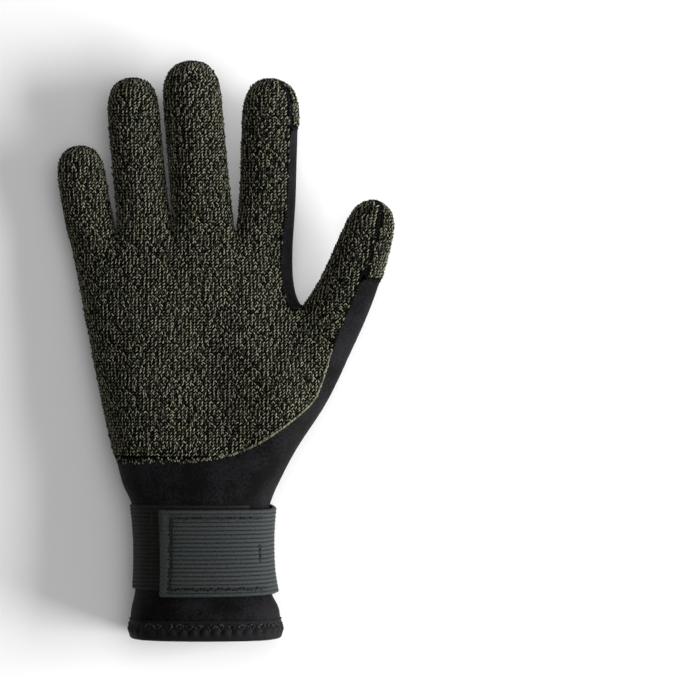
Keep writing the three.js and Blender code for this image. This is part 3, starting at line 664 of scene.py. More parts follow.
def across_wall(bm, wall):
    """For each point of a panel, the point straight through its wall."""
    tree = points_tree([vertex.co for vertex in bm.verts], range(len(bm.verts)))
    partners = []
    for vertex in bm.verts:
        best, found = -1, None
        for place, index, distance in tree.find_range(vertex.co, wall * 1.02):
            if abs(distance - wall) > wall * 0.02:
                continue
            straight = abs((place - vertex.co).normalized().dot(vertex.normal))
            if straight > best:
                best, found = straight, index
        if found is None:
            raise RuntimeError("a point of a panel has no point across its wall")
        partners.append(found)
    return np.array(partners)


def slots_at(item):
    """The slots of the faces that meet at an edge or a point."""
    return {face.material_index for face in item.link_faces}


def panel_mesh(node, wall, edge_radius, finishes):
    """A finer copy of a sewn panel: its outer face, lining and cut edge have slots of their own,
    its edges stay where they are, and its outer edge is rounded."""
    mesh, bm = copied_node(node, f"{node}_cloth")
    bm.normal_update()
    bm.verts.ensure_lookup_table()
    bm.verts.index_update()
    places = np.array([vertex.co for vertex in bm.verts])
    outside = is_outside(places, across_wall(bm, wall))
    for face in bm.faces:
        sides = {bool(outside[vertex.index]) for vertex in face.verts}
        face.material_index = CUT_EDGE if len(sides) == 2 else (OUTSIDE if True in sides else LINING)
    bmesh.ops.join_triangles(
        bm,
        faces=bm.faces,
        cmp_materials=True,
        angle_face_threshold=math.radians(70),
        angle_shape_threshold=math.radians(75),
    )
    crease(bm, lambda edge: 1 if len(slots_at(edge)) == 2 else 0)
    obj = smoothed(mesh.name, mesh, bm, 2)
    bm = edited(obj)
    outer_rim = [edge for edge in bm.edges if slots_at(edge) == {OUTSIDE, CUT_EDGE}]
    bmesh.ops.bevel(
        bm, geom=outer_rim, offset=edge_radius, offset_type="OFFSET", segments=2, profile=0.5,
        affect="EDGES", clamp_overlap=True, material=CUT_EDGE,
    )
    close_seams(bm)
    for face in bm.faces:
        face.smooth = True
    bm.to_mesh(obj.data)
    bm.free()
    for finish in finishes:
        obj.data.materials.append(finish)
    return obj


def close_seams(bm):
    """Lets a panel's lining reach its neighbour's inside the seam, so that no light comes through."""
    bm.normal_update()
    pushed = {}
    for vertex in bm.verts:
        if slots_at(vertex) == {LINING, CUT_EDGE}:
            outward = Vector((0, 0, 0))
            for face in vertex.link_faces:
                if face.material_index == CUT_EDGE:
                    outward += face.normal
            pushed[vertex] = outward.normalized() * SEAM_REACH
    for vertex, push in pushed.items():
        vertex.co += push


# A strand: a rounded grain of ten points, longest along its first axis, and its patch of the map
GRAIN_RING = ((1, 0), (0, 1), (-1, 0), (0, -1))
GRAIN_POINTS = np.array(
    [(-1, 0, 0)] + [(a, b, c) for a in (-0.5, 0.5) for b, c in GRAIN_RING] + [(1, 0, 0)],
    float,
)
GRAIN_FACES = (
    [(0, 1 + (i + 1) % 4, 1 + i) for i in range(4)]
    + [(1 + i, 1 + (i + 1) % 4, 5 + (i + 1) % 4, 5 + i) for i in range(4)]
    + [(9, 5 + i, 5 + (i + 1) % 4) for i in range(4)]
)
GRAIN_MAP = np.array(
    [(0.5, 0.1)] + [(0.2 + 0.2 * i, level) for level in (0.35, 0.65) for i in range(4)] + [(0.5, 0.9)]
)


def grains(name, strands, material):
    """One piece of many short strands of yarn or thread. Each is a rounded grain given by its
    middle and its three half sizes, and has a shade of its own and a patch of the colour map."""
    middles, along, across, upward, shade = strands
    count = len(middles)
    if count == 0:
        raise RuntimeError(f"{name} has no strands")
    a, b, c = (GRAIN_POINTS[:, i][None, :, None] for i in range(3))
    points = middles[:, None] + a * along[:, None] + b * across[:, None] + c * upward[:, None]
    loops = np.concatenate([np.array(face) for face in GRAIN_FACES])
    starts = np.cumsum([0] + [len(face) for face in GRAIN_FACES[:-1]])
    size = len(GRAIN_POINTS)
    all_loops = (np.arange(count)[:, None] * size + loops).ravel()
    all_starts = (np.arange(count)[:, None] * len(loops) + starts).ravel()
    mesh = bpy.data.meshes.new(name)
    mesh.vertices.add(count * size)
    mesh.vertices.foreach_set("co", points.ravel())
    mesh.loops.add(len(all_loops))
    mesh.loops.foreach_set("vertex_index", all_loops)
    mesh.polygons.add(len(all_starts))
    mesh.polygons.foreach_set("loop_start", all_starts)
    mesh.polygons.foreach_set("use_smooth", np.ones(len(all_starts), bool))
    mesh.update(calc_edges=True)
    shades = mesh.attributes.new("shade", "FLOAT", "POINT")
    shades.data.foreach_set("value", np.repeat(shade, size).astype(np.float32))
    cells = math.ceil(math.sqrt(count))
    corner = np.stack([np.arange(count) % cells, np.arange(count) // cells], axis=1)
    places = (corner[:, None] + GRAIN_MAP[loops][None]) / cells
    colour_map = mesh.uv_layers.new(name="OFBake")
    colour_map.data.foreach_set("uv", places.astype(np.float32).ravel())
    mesh.materials.append(material)
    piece = add_object(name, mesh)
    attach(piece, "root")
    return piece


def knit_lattice(points, normals, triangles, cloth):
    """Middles of the stitches that fall inside triangles, where cloth gives the corners' places in
    whole stitches: middle, normal, and the steps to the next wale and to the next course."""
    low = np.ceil(cloth.min(axis=1)).astype(int)
    high = np.floor(cloth.max(axis=1)).astype(int)
    count = np.maximum(high - low + 1, 0)
    total = count[:, 0] * count[:, 1]
    owner = np.repeat(np.arange(len(triangles)), total)
    order = np.arange(total.sum()) - np.repeat(np.cumsum(total) - total, total)
    wale = low[owner, 0] + order % np.maximum(count[owner, 0], 1)
    course = low[owner, 1] + order // np.maximum(count[owner, 0], 1)
    first = cloth[owner, 0]
    edge_a = cloth[owner, 1] - first
    edge_b = cloth[owner, 2] - first
    area = edge_a[:, 0] * edge_b[:, 1] - edge_a[:, 1] * edge_b[:, 0]
    area = np.where(np.abs(area) < 1e-9, np.inf, area)
    offset = np.stack([wale, course], axis=1) - first
    share_a = (offset[:, 0] * edge_b[:, 1] - offset[:, 1] * edge_b[:, 0]) / area
    share_b = (edge_a[:, 0] * offset[:, 1] - edge_a[:, 1] * offset[:, 0]) / area
    inside = (share_a >= 0) & (share_b >= 0) & (share_a + share_b < 1) & np.isfinite(area)
    owner = owner[inside]
    share_a, share_b = share_a[inside][:, None], share_b[inside][:, None]
    edge_a, edge_b, area = edge_a[inside], edge_b[inside], area[inside][:, None]
    a, b, c = (triangles[owner, i] for i in range(3))
    side_a, side_b = points[b] - points[a], points[c] - points[a]
    middle = points[a] + share_a * side_a + share_b * side_b
    normal = unit(normals[a] * (1 - share_a - share_b) + normals[b] * share_a + normals[c] * share_b)
    to_wale = (side_a * edge_b[:, 1:2] - side_b * edge_a[:, 1:2]) / area
    to_course = (side_b * edge_a[:, 0:1] - side_a * edge_b[:, 0:1]) / area
    return middle, normal, to_wale, to_course


def off_the_rim(obj, points, places, clear):
    """True for places that lie clear of a panel's outer rim."""
    rim = sorted({i for line in rim_lines(obj, {OUTSIDE, CUT_EDGE}) for i in line})
    tree = points_tree(points, rim)
    return np.array([tree.find(Vector(place))[2] > clear for place in places])


def stitches_on(obj, upwards, sizes, rng):
    """Both legs of every knit stitch on a panel's outer face, by the part of the hand that they
    cover."""
    points, triangles, normals = face_of(obj)
    cloth = lay_flat(points, triangles, np.array(upwards)) / (sizes.wale, sizes.course)
    found = knit_lattice(points, normals, triangles, cloth[triangles])
    clear = off_the_rim(obj, points, found[0], sizes.seam_clear)
    middle, normal, to_wale, to_course = (values[clear] for values in found)
    owner, along = along_digits(middle * 1000)
    part = np.tile(np.where(along < PAST_ROOT, -1, owner), 2)
    made = legs(middle, normal, to_wale, to_course, sizes, rng)
    names = ["palm", *DIGITS]
    return {names[key + 1]: [values[part == key] for values in made] for key in np.unique(part)}


def legs(middle, normal, to_wale, to_course, sizes, rng):
    """The two legs of each stitch's V, as grains: each leans outwards as it goes up, and its top
    lies over the stitch above. The yarn is plied from a pale and a black strand, so most stitches
    show one pale leg."""
    wide = to_wale - normal * np.einsum("ij,ij->i", to_wale, normal)[:, None]
    tall = to_course - normal * np.einsum("ij,ij->i", to_course, normal)[:, None]
    count = len(middle)
    swapped = rng.random(count) < SWAPPED_SHARE
    for vectors, pitch in ((wide, sizes.wale), (tall, sizes.course)):
        reach = np.linalg.norm(vectors, axis=1, keepdims=True)
        vectors *= np.clip(reach, LEAST_PITCH * pitch, MOST_PITCH * pitch) / np.maximum(reach, 1e-9)
    width = np.linalg.norm(wide, axis=1, keepdims=True)
    made = []
    for side in (-1, 1):
        place = middle + side * LEG_ASIDE * wide + normal * width * LEG_LIFT
        along = tall * LEG_HALF_HEIGHT + side * wide * LEG_LEAN + normal * width * LEG_TOP_LIFT
        pale = swapped ^ (side == 1)
        thick = np.where(pale, PALE_THICKNESS, DARK_THICKNESS)[:, None] * width
        across = unit(np.cross(along, normal)) * thick
        drift = rng.normal(0, LEG_DRIFT, (count, 3)) * width
        along = along + np.cross(normal, along) * rng.normal(0, LEG_TURN, (count, 1))
        spread = np.where(pale, PALE_SPREAD, DARK_SPREAD)
        shade = np.where(pale, PALE_SHADE, DARK_SHADE) + rng.normal(0, 1, count) * spread
        made.append((place + drift, along, across, normal * thick, np.clip(shade, 0, 1)))
    return joined_strands(made)


def joined_strands(groups):
    """Several groups of strands as one."""
    return [np.concatenate(values) for values in zip(*groups)]


def rim_lines(obj, slots):
    """Ordered closed or open lines of points along the edges between two slots of a panel."""
    bm = edited(obj)
    links = {}
    for edge in bm.edges:
        if slots_at(edge) == slots:
            a, b = (vertex.index for vertex in edge.verts)
            links.setdefault(a, []).append(b)
            links.setdefault(b, []).append(a)
    bm.free()
    lines = []
    unused = set(links)
    while unused:
        start = next((i for i in unused if len(links[i]) != 2), None)
        start = min(unused) if start is None else start
        line = [start]
        unused.discard(start)
        while True:
            following = [i for i in links[line[-1]] if i in unused]
            if not following:
                break
            line.append(following[0])
            unused.discard(following[0])
        if len(line) > 2 and line[0] in links[line[-1]]:
            line.append(line[0])
        lines.append(line)
    return [line for line in lines if len(line) > 4]


def sewing_line(points, normals, pitch):
    """Places of stitches at even distances along a line of points, the line's direction at each,
    and the cloth's outward direction there."""
    far = distances_along(points)
    count = max(int(far[-1] / pitch), 1)
    stops = (np.arange(count) + 0.5) * far[-1] / count

    def found(values, ahead=0):
        return np.stack([np.interp(stops + ahead, far, values[:, i]) for i in range(3)], axis=1)

    ways = unit(found(points, pitch / 2) - found(points, -pitch / 2))
    return found(points), ways, unit(found(normals))


def seams_between(panels):
    """Lines half way between the rims of neighbouring panels, each found once: the two panels'
    names, the points and the outward normals."""
    rims, trees = {}, {}
    for name, obj in panels.items():
        points, triangles, normals = face_of(obj)
        lines = rim_lines(obj, {OUTSIDE, CUT_EDGE})
        rims[name] = (points, normals, lines)
        trees[name] = points_tree(points, sorted({i for line in lines for i in line}))
    seams = []

    def keep(name, partner, run):
        if partner is not None and name < partner and len(run) > 3:
            places, normals = (np.array(values) for values in zip(*run))
            seams.append((name, partner, places, unit(normals)))

    for name, (points, normals, lines) in rims.items():
        for line in lines:
            run, partner = [], None
            for i in line:
                near = []
                for other, tree in trees.items():
                    if other != name:
                        place, index, distance = tree.find(Vector(points[i]))
                        near.append((distance, other, index))
                distance, other, index = min(near)
                if distance > NEIGHBOUR_REACH:
                    other = None
                if other != partner:
                    keep(name, partner, run)
                    run, partner = [], other
                if other is not None:
                    run.append(((points[i] + rims[other][0][index]) / 2, normals[i] + rims[other][1][index]))
            keep(name, partner, run)
    return seams


def dress(obj, node):
    """Lets a piece stand for a CAD node, which it hides, and ride on the glove."""
    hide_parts(node)
    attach(obj, "root")


class GLOVE_OT_stage(bpy.types.Operator):
    """Adds the pale floor, the soft studio lights and the camera over the glove"""

    bl_idname = "glove.stage"
    bl_label = "Stage"

    def execute(self, context):
        scene = context.scene
        only()
        bpy.ops.mesh.primitive_plane_add(size=6, location=(0, 0, -0.0002))
        floor = context.object
        floor.name = "floor"
        bpy.ops.object.transform_apply(location=True, rotation=True, scale=True)
        floor.data.materials.append(pale_floor(scene.glove_colours))
        camera = bpy.data.cameras.new("camera")
        camera.lens = LENS
        camera.sensor_width = SENSOR
        camera.clip_end = 20
        view = add_object("camera", camera)
        view.location = (*FRAME_MIDDLE, OUTLINE_HEIGHT + FRAME_WIDTH * LENS / SENSOR)
        scene.camera = view
        for name, place, size, power in LIGHTS:
            lamp = bpy.data.lights.new(name, "AREA")
            lamp.shape = "SQUARE"
            lamp.size = size
            lamp.energy = power
            light = add_object(name, lamp)
            light.location = place
            light.rotation_euler = (Vector(LIGHTS_AIM) - light.location).to_track_quat("-Z", "Y").to_euler()
        world = bpy.data.worlds.new("studio")
        world.use_nodes = True
        sky = world.node_tree.nodes["Background"].inputs
        sky["Color"].default_value = (1, 1, 1, 1)
        sky["Strength"].default_value = SKY_STRENGTH
        scene.world = world
        scene.view_settings.view_transform = "Standard"
        return {"FINISHED"}


class GLOVE_OT_neoprene(bpy.types.Operator):
    """Makes the neoprene panels of back and cuff, with lining and cut edges"""

    bl_idname = "glove.neoprene"
    bl_label = "Neoprene panels"

    def execute(self, context):
        colours = context.scene.glove_colours
        finishes = [jersey_neoprene(colours), silver_lining(colours), foam_edge()]
        for node, (flat, area) in NEOPRENE_PANELS.items():
            obj = panel_mesh(node, WALL, context.scene.glove_sizes.edge_radius, finishes)
            dress(obj, node)
        return {"FINISHED"}


class GLOVE_OT_knit(bpy.types.Operator):
    """Makes the knitted palm and fingertip caps, and lays every stitch of the knit on them"""

    bl_idname = "glove.knit"
    bl_label = "Knitted panels"

    def execute(self, context):
        colours = context.scene.glove_colours
        sizes = context.scene.glove_sizes
        made = bpy.data.materials
        rng = np.random.default_rng(11)
        yarn = knit_yarn(colours)
        finishes = [knit_ground(colours), made["silver_coated_lining"], made["cut_neoprene_foam"]]
        for node, (flat, area) in KNIT_PANELS.items():
            obj = panel_mesh(node, KNIT_WALL, sizes.edge_radius, finishes)
            dress(obj, node)
            kind = "stitches" if node == "palm_panel" else "cap_stitches"
            line = DIGITS.get(node.removeprefix("tip_cap_"), ((0, 0, 0), (0, 1, 0)))
            upwards = (Vector(line[-1]) - Vector(line[-2])).normalized()
            pieces = [
                grains(f"{part}_{kind}", strands, yarn)
                for part, strands in stitches_on(obj, upwards, sizes, rng).items()
            ]
        return {"FINISHED"}


class GLOVE_OT_seams(bpy.types.Operator):
    """Sews the panels together, with pale stitches on the back and dark ones beside the knit"""

    bl_idname = "glove.seams"
    bl_label = "Seams"

    @staticmethod
    def heel_edge(points, normals, rng):
        """Strands of the knit at the heel's seam: a rolled line towards the thumb, and a ragged
        end of loose stitches on the other side."""
        middles, ways, facing = sewing_line(points, normals, ROLLED_EDGE_PITCH)
        on_heel = (facing[:, 2] > 0.35) & (middles[:, 1] < 0.0)
        middles, ways, facing = middles[on_heel], ways[on_heel], facing[on_heel]
        across = unit(np.cross(ways, facing))
        across *= np.sign(across[:, 1:2] - 0.2 * across[:, 0:1])
        rolled = smoothstep(*THUMB_SIDE_OF_HEEL, middles[:, 0])
        ragged = (1 - rolled)[:, None]
        count = len(middles)
        shade = rng.normal(0.45, 0.4, count) * rolled
        shade += np.where(rng.random(count) < 0.45, rng.uniform(0.3, 0.9, count), 0.03) * ragged[:, 0]
        drop = 0.0008 - rng.uniform(-0.0004, 0.0026, (count, 1)) * ragged
        lift = 0.00015 + 0.2 * (drop + 0.0018) * ragged
        slant = rng.choice((-1, 1), (count, 1)) * rng.uniform(0.2, 1, (count, 1))
        along = ways * (0.0007 * (1 - ragged) + 0.0004 * slant * ragged) + across * (0.0004 + 0.0002 * ragged)
        return (
            middles + facing * lift + across * drop,
            along,
            unit(np.cross(along, facing)) * (0.00045 - 0.00016 * ragged),
            facing * (0.00042 - 0.00014 * ragged),
            np.clip(shade, 0, 1),
        )

    def execute(self, context):
        colours = context.scene.glove_colours
        sizes = context.scene.glove_sizes
        rng = np.random.default_rng(5)
        pale, dark, heel = [], [], []
        panels = {node: bpy.data.objects[f"{node}_cloth"] for node in (*NEOPRENE_PANELS, *KNIT_PANELS)}
        for first, second, points, normals in seams_between(panels):
            on_back = first.startswith("back") and second.startswith("back")
            pitch = sizes.seam_pitch if on_back else DARK_SEAM_PITCH
            middles, ways, facing = sewing_line(points, normals, pitch)
            count = len(middles)
            if count < 2:
                continue
            across = unit(np.cross(ways, facing))
            if on_back:
                slant = np.where(np.arange(count) % 2 == 0, 1, -1)[:, None]
                along = across * 0.00105 + ways * slant * 0.00045
                lift = 0.00002
                shade = rng.random(count)
            else:
                along = across * 0.0007 + ways * 0.0003
                lift = -0.00005
                shade = rng.random(count) ** 4
            sideways = unit(np.cross(along, facing)) * SEAM_THREAD
            strands = (middles + facing * lift, along, sideways, facing * SEAM_THREAD, shade)
            (pale if on_back else dark).append(strands)
            if {first, second} == {"palm_panel", "back_shell"}:
                heel.append(self.heel_edge(points, normals, rng))
        for name, found, material in (
            ("back_seam_stitches", pale, thread("grey_seam_thread", colours.seam_thread, 0.6, 1.3)),
            ("panel_seam_stitches", dark, thread("black_flecked_thread", colours.black_thread, 0.7, 12)),
            ("rolled_knit_edge", heel, bpy.data.materials["melange_knit_yarn"]),
        ):
            if not found:
                raise RuntimeError(f"no seam was found for {name}")
            grains(name, joined_strands(found), material)
        return {"FINISHED"}


def outwards(angle):
    """The direction away from the arm at an angle round it."""
    return Vector((math.cos(angle), 0, math.sin(angle)))


def crossings(tree, middle, angle, y):
    """Distances from the wrist's middle at which a straight line outwards crosses the webbing,
    the outermost first."""
    way = outwards(angle)
    centre = Vector((middle[0], y, middle[1]))
    far = 0.06
    found = []
    while far > 0:
        place, normal, index, distance = tree.ray_cast(centre + way * far, -way, far)
        if place is None:
            break
        far = (place - centre).dot(way) - MERGE
        found.append(far + MERGE)
    return found


def last_inside(test, inside, outside):
    """The last place between two that passes a test."""
    for _ in range(13):
        half = (inside + outside) / 2
        if test(half):
            inside = half
        else:
            outside = half
    return inside


class Webbing:
    """The strap's course round the wrist, read from its CAD solid: from the tab's end over the
    thumb side and the back to its start under the tab."""

    def __init__(self, node):
        smooth = strip_copy(node, "strap_course", 2, 1)
        self.tree = faces_tree(smooth)
        bpy.data.objects.remove(smooth)
        low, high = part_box(node)
        self.middle = ((low.x + high.x) / 2, (low.z + high.z) / 2)
        self.y = (low.y + high.y) / 2
        doubled = [degrees for degrees in range(60, 150) if self.is_doubled(math.radians(degrees))]
        if not doubled:
            raise RuntimeError("the strap's tab doesn't lie over its start")
        overlap = math.radians(doubled[len(doubled) // 2])
        self.tab_end = last_inside(self.is_doubled, overlap, overlap + math.radians(70))
        self.start = last_inside(self.is_doubled, overlap, overlap - math.radians(90)) - 2 * math.pi
        self.turns = np.arange(self.tab_end, self.start, -math.radians(1.5))
        outer = np.array([self.faces_at(angle, self.y)[0] for angle in self.turns])
        line = np.stack([np.cos(self.turns) * outer, np.sin(self.turns) * outer], axis=1)
        self.walked = distances_along(line)

    def layers(self, angle, y):
        """How many faces of the webbing lie one over the other."""
        return len(crossings(self.tree, self.middle, angle, y))

    def is_doubled(self, angle):
        """True where the tab lies over the start."""
        return self.layers(angle, self.y) >= 4

    def is_under(self, angle):
        """True where the webbing has come round and lies under its own tab."""
        return angle < self.tab_end - 2 * math.pi

    def edges(self, angle):
        """The webbing's lower and upper edge at an angle, along the arm."""
        doubled = self.is_doubled(angle)
        under = self.is_under(angle)
        low_needs = 4 if doubled and under else 1
        high_needs = 4 if doubled and not under else 1
        low = last_inside(lambda y: self.layers(angle, y) >= low_needs, self.y, self.y - 0.03)
        high = last_inside(lambda y: self.layers(angle, y) >= high_needs, self.y, self.y + 0.03)
        return low, high

    def edges_along(self, angles):
        """The webbing's edges at many angles, measured clear of its ends' rounded corners."""
        clear = math.radians(10)
        corners = (self.start + 2 * math.pi, self.tab_end - 2 * math.pi)
        measured = [
            angle
            for angle in np.arange(self.start + clear, self.tab_end - clear, math.radians(5))
            if all(abs(angle - corner) > clear for corner in corners)
        ]
        found = np.array([self.edges(angle) for angle in measured])
        found[:, 1] += STRAP_SPREAD
        return np.stack([np.interp(angles, measured, found[:, i]) for i in (0, 1)], axis=1)

    def faces_at(self, angle, y):
        """Distances of the webbing's outer and inner face from the wrist's middle."""
        found = crossings(self.tree, self.middle, angle, y)
        if len(found) < 2:
            raise RuntimeError("the strap has a gap in it")
        return found[-2:] if self.is_under(angle) else found[:2]

    def end_at(self, y):
        """Angle of the tab's end at a height along the arm."""
        inside = self.tab_end - math.radians(3)
        level = crossings(self.tree, self.middle, inside, y)[0]

        def is_on_top(angle):
            return (crossings(self.tree, self.middle, angle, y) or [0])[0] > level - 0.0016

        return last_inside(is_on_top, inside, self.tab_end + math.radians(5))

    def point(self, angle, reach, y):
        """The point at a distance from the wrist's middle."""
        return Vector((self.middle[0] + math.cos(angle) * reach, y, self.middle[1] + math.sin(angle) * reach))


def solid_top(high):
    """The highest place at which the CAD solid is measured, from the webbing's upper edge."""
    return high - STRAP_SPREAD - SOLID_RIM


def box_lines(width):
    """Where the box stitch runs: its ends along the tab, and its sides across it."""
    return TAB_STITCH_INSET, TAB_STITCH_INSET + TAB_STITCH_LENGTH, TAB_STITCH_SIDE, width - TAB_STITCH_SIDE


def stitch_depth(stop, across, width):
    """How deep the webbing is drawn in by the box stitch, from 0 to 1."""
    left, right, low, high = box_lines(width)
    depth = 0
    if low - 0.001 < across < high + 0.001:
        depth = 1 - abs(stop - left) / 0.0012
    if TAB_BAR[0] < across < TAB_BAR[1]:
        depth = max(depth, 1 - abs(stop - right) / 0.0009)
    if left - 0.001 < stop < right + 0.001:
        for line in (low, high):
            depth = max(depth, 1 - abs(across - line) / 0.0014)
    return max(depth, 0)


def strip_faces(columns, rows):
    """Faces of a closed strip of two layers of points, the outer layer first."""

    def corner(layer, column, row):
        return (layer * columns + column) * rows + row

    faces = []
    for i in range(columns - 1):
        for j in range(rows - 1):
            faces.append((corner(0, i, j), corner(0, i, j + 1), corner(0, i + 1, j + 1), corner(0, i + 1, j)))
            faces.append((corner(1, i, j), corner(1, i + 1, j), corner(1, i + 1, j + 1), corner(1, i, j + 1)))
        for j in (0, rows - 1):
            side = (corner(0, i, j), corner(0, i + 1, j), corner(1, i + 1, j), corner(1, i, j))
            faces.append(side if j == 0 else side[::-1])
    for j in range(rows - 1):
        for i in (0, columns - 1):
            side = (corner(0, i, j), corner(1, i, j), corner(1, i, j + 1), corner(0, i, j + 1))
            faces.append(side if i == 0 else side[::-1])
    return faces


class GLOVE_OT_strap(bpy.types.Operator):
    """Weaves the wrist strap with its ribs and sews its box stitch"""

    bl_idname = "glove.strap"
    bl_label = "Wrist strap"

    def execute(self, context):
        colours = context.scene.glove_colours
        sizes = context.scene.glove_sizes
        webbing = Webbing("wrist_strap")
        length = webbing.walked[-1]
        stops = self.columns(length)
        angles = np.interp(stops, webbing.walked, webbing.turns)
        edges = webbing.edges_along(angles)
        width = np.median(edges[:, 1] - edges[:, 0])
        ribs = round(width / sizes.rib)
        rows = np.array([(rib + step) / ribs for rib in range(ribs) for step in RIB_STEPS] + [1])
        rows[0], rows[-1] = 0.0006, 0.9994
        low, high = edges[TAB_COLUMN]
        ends = [webbing.end_at(min(low + (high - low) * share, solid_top(high))) for share in rows]
        outer_points, inner_points, cloth, painted_rib_lights = [], [], [], []
        for angle, stop, (low, high) in zip(angles, stops, edges):
            for share, end in zip(rows, ends):
                y = low + (high - low) * share
                near_end = max(0, 1 - stop / 0.008)
                turned = angle + (end - webbing.tab_end - math.radians(0.05)) * near_end
                outer, inner = webbing.faces_at(turned, min(y, solid_top(high)))
                outer += 0.1 * max(0, y - solid_top(high))
                rib = math.sqrt(max(1 - (2 * (share * ribs % 1) - 1) ** 2, 0)) - 1
                edge = min(share, 1 - share) * width
                end_edge = min(stop, length - stop)
                sunk = 0.0005 * max(0, 1 - edge / 0.0007) + 0.0005 * max(0, 1 - end_edge / 0.0008)
                sewn = stitch_depth(stop, share * width, width)
                folded = smoothstep(TAB_STITCH_INSET - 0.0008, TAB_STITCH_INSET - 0.0018, stop)
                lift = sizes.rib_height * rib * (1 - 0.6 * sewn) * (1 - 0.75 * folded)
                lift += 0.0001 - 0.0005 * sewn - sunk
                for points, reach in ((outer_points, outer + lift), (inner_points, inner)):
                    point = webbing.point(turned, reach, y)
                    points.append((point.x, y, max(0, point.z)))
                cloth.append((stop, share * width))
                # Painted light and shade: paler on the tops of the ribs, darker in their grooves and where
                # the box stitch draws the webbing in, evened out where the tab's end is folded.
                painted_rib_light = (1 + rib) ** 1.5 * (1 - 0.85 * sewn)
                painted_rib_lights.append(painted_rib_light + (0.72 - painted_rib_light) * 0.8 * folded)
        mesh = bpy.data.meshes.new("wrist_strap_webbing")
        mesh.from_pydata(outer_points + inner_points, [], strip_faces(len(angles), len(rows)))
        self.mark_cloth(mesh, np.array(cloth + cloth), painted_rib_lights + painted_rib_lights, length)
        mesh.materials.append(ribbed_webbing(colours))
        strap = add_object("wrist_strap_webbing", mesh)
        only(strap)
        bpy.ops.object.mode_set(mode="EDIT")
        bpy.ops.mesh.select_all(action="SELECT")
        bpy.ops.mesh.normals_make_consistent(inside=False)
        bpy.ops.object.mode_set(mode="OBJECT")
        bpy.ops.object.shade_smooth_by_angle(angle=math.radians(50))
        dress(strap, "wrist_strap")
        stitches = [
            self.box_stitch(webbing, colours, edges[TAB_COLUMN], width),
            self.start_stitches(webbing, colours),
        ]
        return {"FINISHED"}

    @staticmethod
    def columns(length):
        """How far along the strap its columns of points lie, closer at its ends and stitches."""
        stops = list(np.arange(COLUMN_PITCH, length - 0.001, COLUMN_PITCH))
        for line in (TAB_STITCH_INSET, TAB_STITCH_INSET + TAB_STITCH_LENGTH):
            stops = [stop for stop in stops if abs(stop - line) > 0.0013]
            stops += [line + step for step in STITCH_COLUMNS]
        return np.array(sorted([*END_COLUMNS, *stops, length - 0.00002]))

    @staticmethod
    def mark_cloth(mesh, places, painted_rib_lights, length):
        """Writes each point's place on the flat webbing, its height on the ribs as painted light and shade,
        and its colour, which is painted darker as shade towards the strap's start.
        """
        uv = mesh.uv_layers.new(name="cloth")
        loops = np.empty(len(mesh.loops), int)
        mesh.loops.foreach_get("vertex_index", loops)
        uv.data.foreach_set("uv", places[loops].astype(np.float32).ravel())
        # Painted shade: the webbing's colour turns darker from the middle of its length to its start under
        # the tab.
        shade_from, shade_at = (length * share for share in PAINTED_SHADE_SHARE)
        grey = 1 - smoothstep(shade_from, shade_at, places[:, 0])
        for name, values in (("shade", grey), ("painted_rib_light", np.array(painted_rib_lights))):
            attribute = mesh.attributes.new(name, "FLOAT", "POINT")
            attribute.data.foreach_set("value", values.astype(np.float32))

    @staticmethod
    def box_stitch(webbing, colours, tab_edges, width):
        """The dark stitches that hold the hook tape under the tab."""
        left, right, low, high = box_lines(width)
        rng = np.random.default_rng(3)
        spots = []
        for stop in np.arange(left, right + 0.0001, TAB_STITCH_PITCH):
            spots += [(stop, low, 0), (stop, high, 0)]
        for across in np.arange(low + 0.0012, high - 0.001, TAB_STITCH_PITCH):
            spots.append((left, across, 1))
        for across in np.arange(*TAB_BAR, TAB_STITCH_PITCH):
            spots.append((right, across, 1))

        def place(stop, across):
            angle = float(np.interp(stop, webbing.walked, webbing.turns))
            y = tab_edges[0] + across
            outer = webbing.faces_at(angle, min(y, solid_top(tab_edges[1])))[0]
            return webbing.point(angle, outer, y), outwards(angle)

        middles, along, upward = [], [], []
        for stop, across, upright in spots:
            aside = rng.choice((-1, 1)) * rng.uniform(0.0003, 0.0008)
            stop += aside * upright
            across += aside * (1 - upright)
            middle, out = place(stop, across)
            ahead = place(stop + 0.0005 * (1 - upright), across + 0.0005 * upright)[0]
            middles.append(middle - out * 0.0004)
            along.append((ahead - middle).normalized() * rng.uniform(0.0007, 0.0011))
            upward.append(out * 0.0005)
        along, upward = np.array(along), np.array(upward)
        sideways = unit(np.cross(along, upward)) * 0.0006
        strands = (np.array(middles), along, sideways, upward, rng.random(len(middles)))
        material = thread("black_polyester_thread", colours.black_thread, 0.3, 1.2)
        return grains("tab_box_stitches", strands, material)

    @staticmethod
    def start_stitches(webbing, colours):
        """The faint line of stitches across the strap's start, where its webbing is painted darker as shade,
        just beside the tab's end.
        """
        angle = webbing.tab_end - 2 * math.pi + 0.03
        while webbing.point(angle, webbing.faces_at(angle, webbing.y)[0], 0).x > START_STITCH_LINE:
            angle += 0.005
        out = np.array(outwards(angle))
        low, high = webbing.edges(angle)
        rows = np.arange(low + 0.0015, high - 0.0012, 0.0017)
        middles = [webbing.point(angle, webbing.faces_at(angle, y)[0] + 0.00002, y) for y in rows]
        count = len(middles)
        rng = np.random.default_rng(4)
        strands = (
            np.array(middles),
            np.tile((0, 0.0007, 0), (count, 1)) + rng.normal(0, 0.00006, (count, 3)),
            np.tile(np.cross(out, (0, 1, 0)) * 0.0002, (count, 1)),
            np.tile(out * 0.0002, (count, 1)),
            rng.random(count),
        )
        material = thread("grey_polyester_thread", colours.black_thread, 3, 12)
        return grains("strap_start_stitches", strands, material)


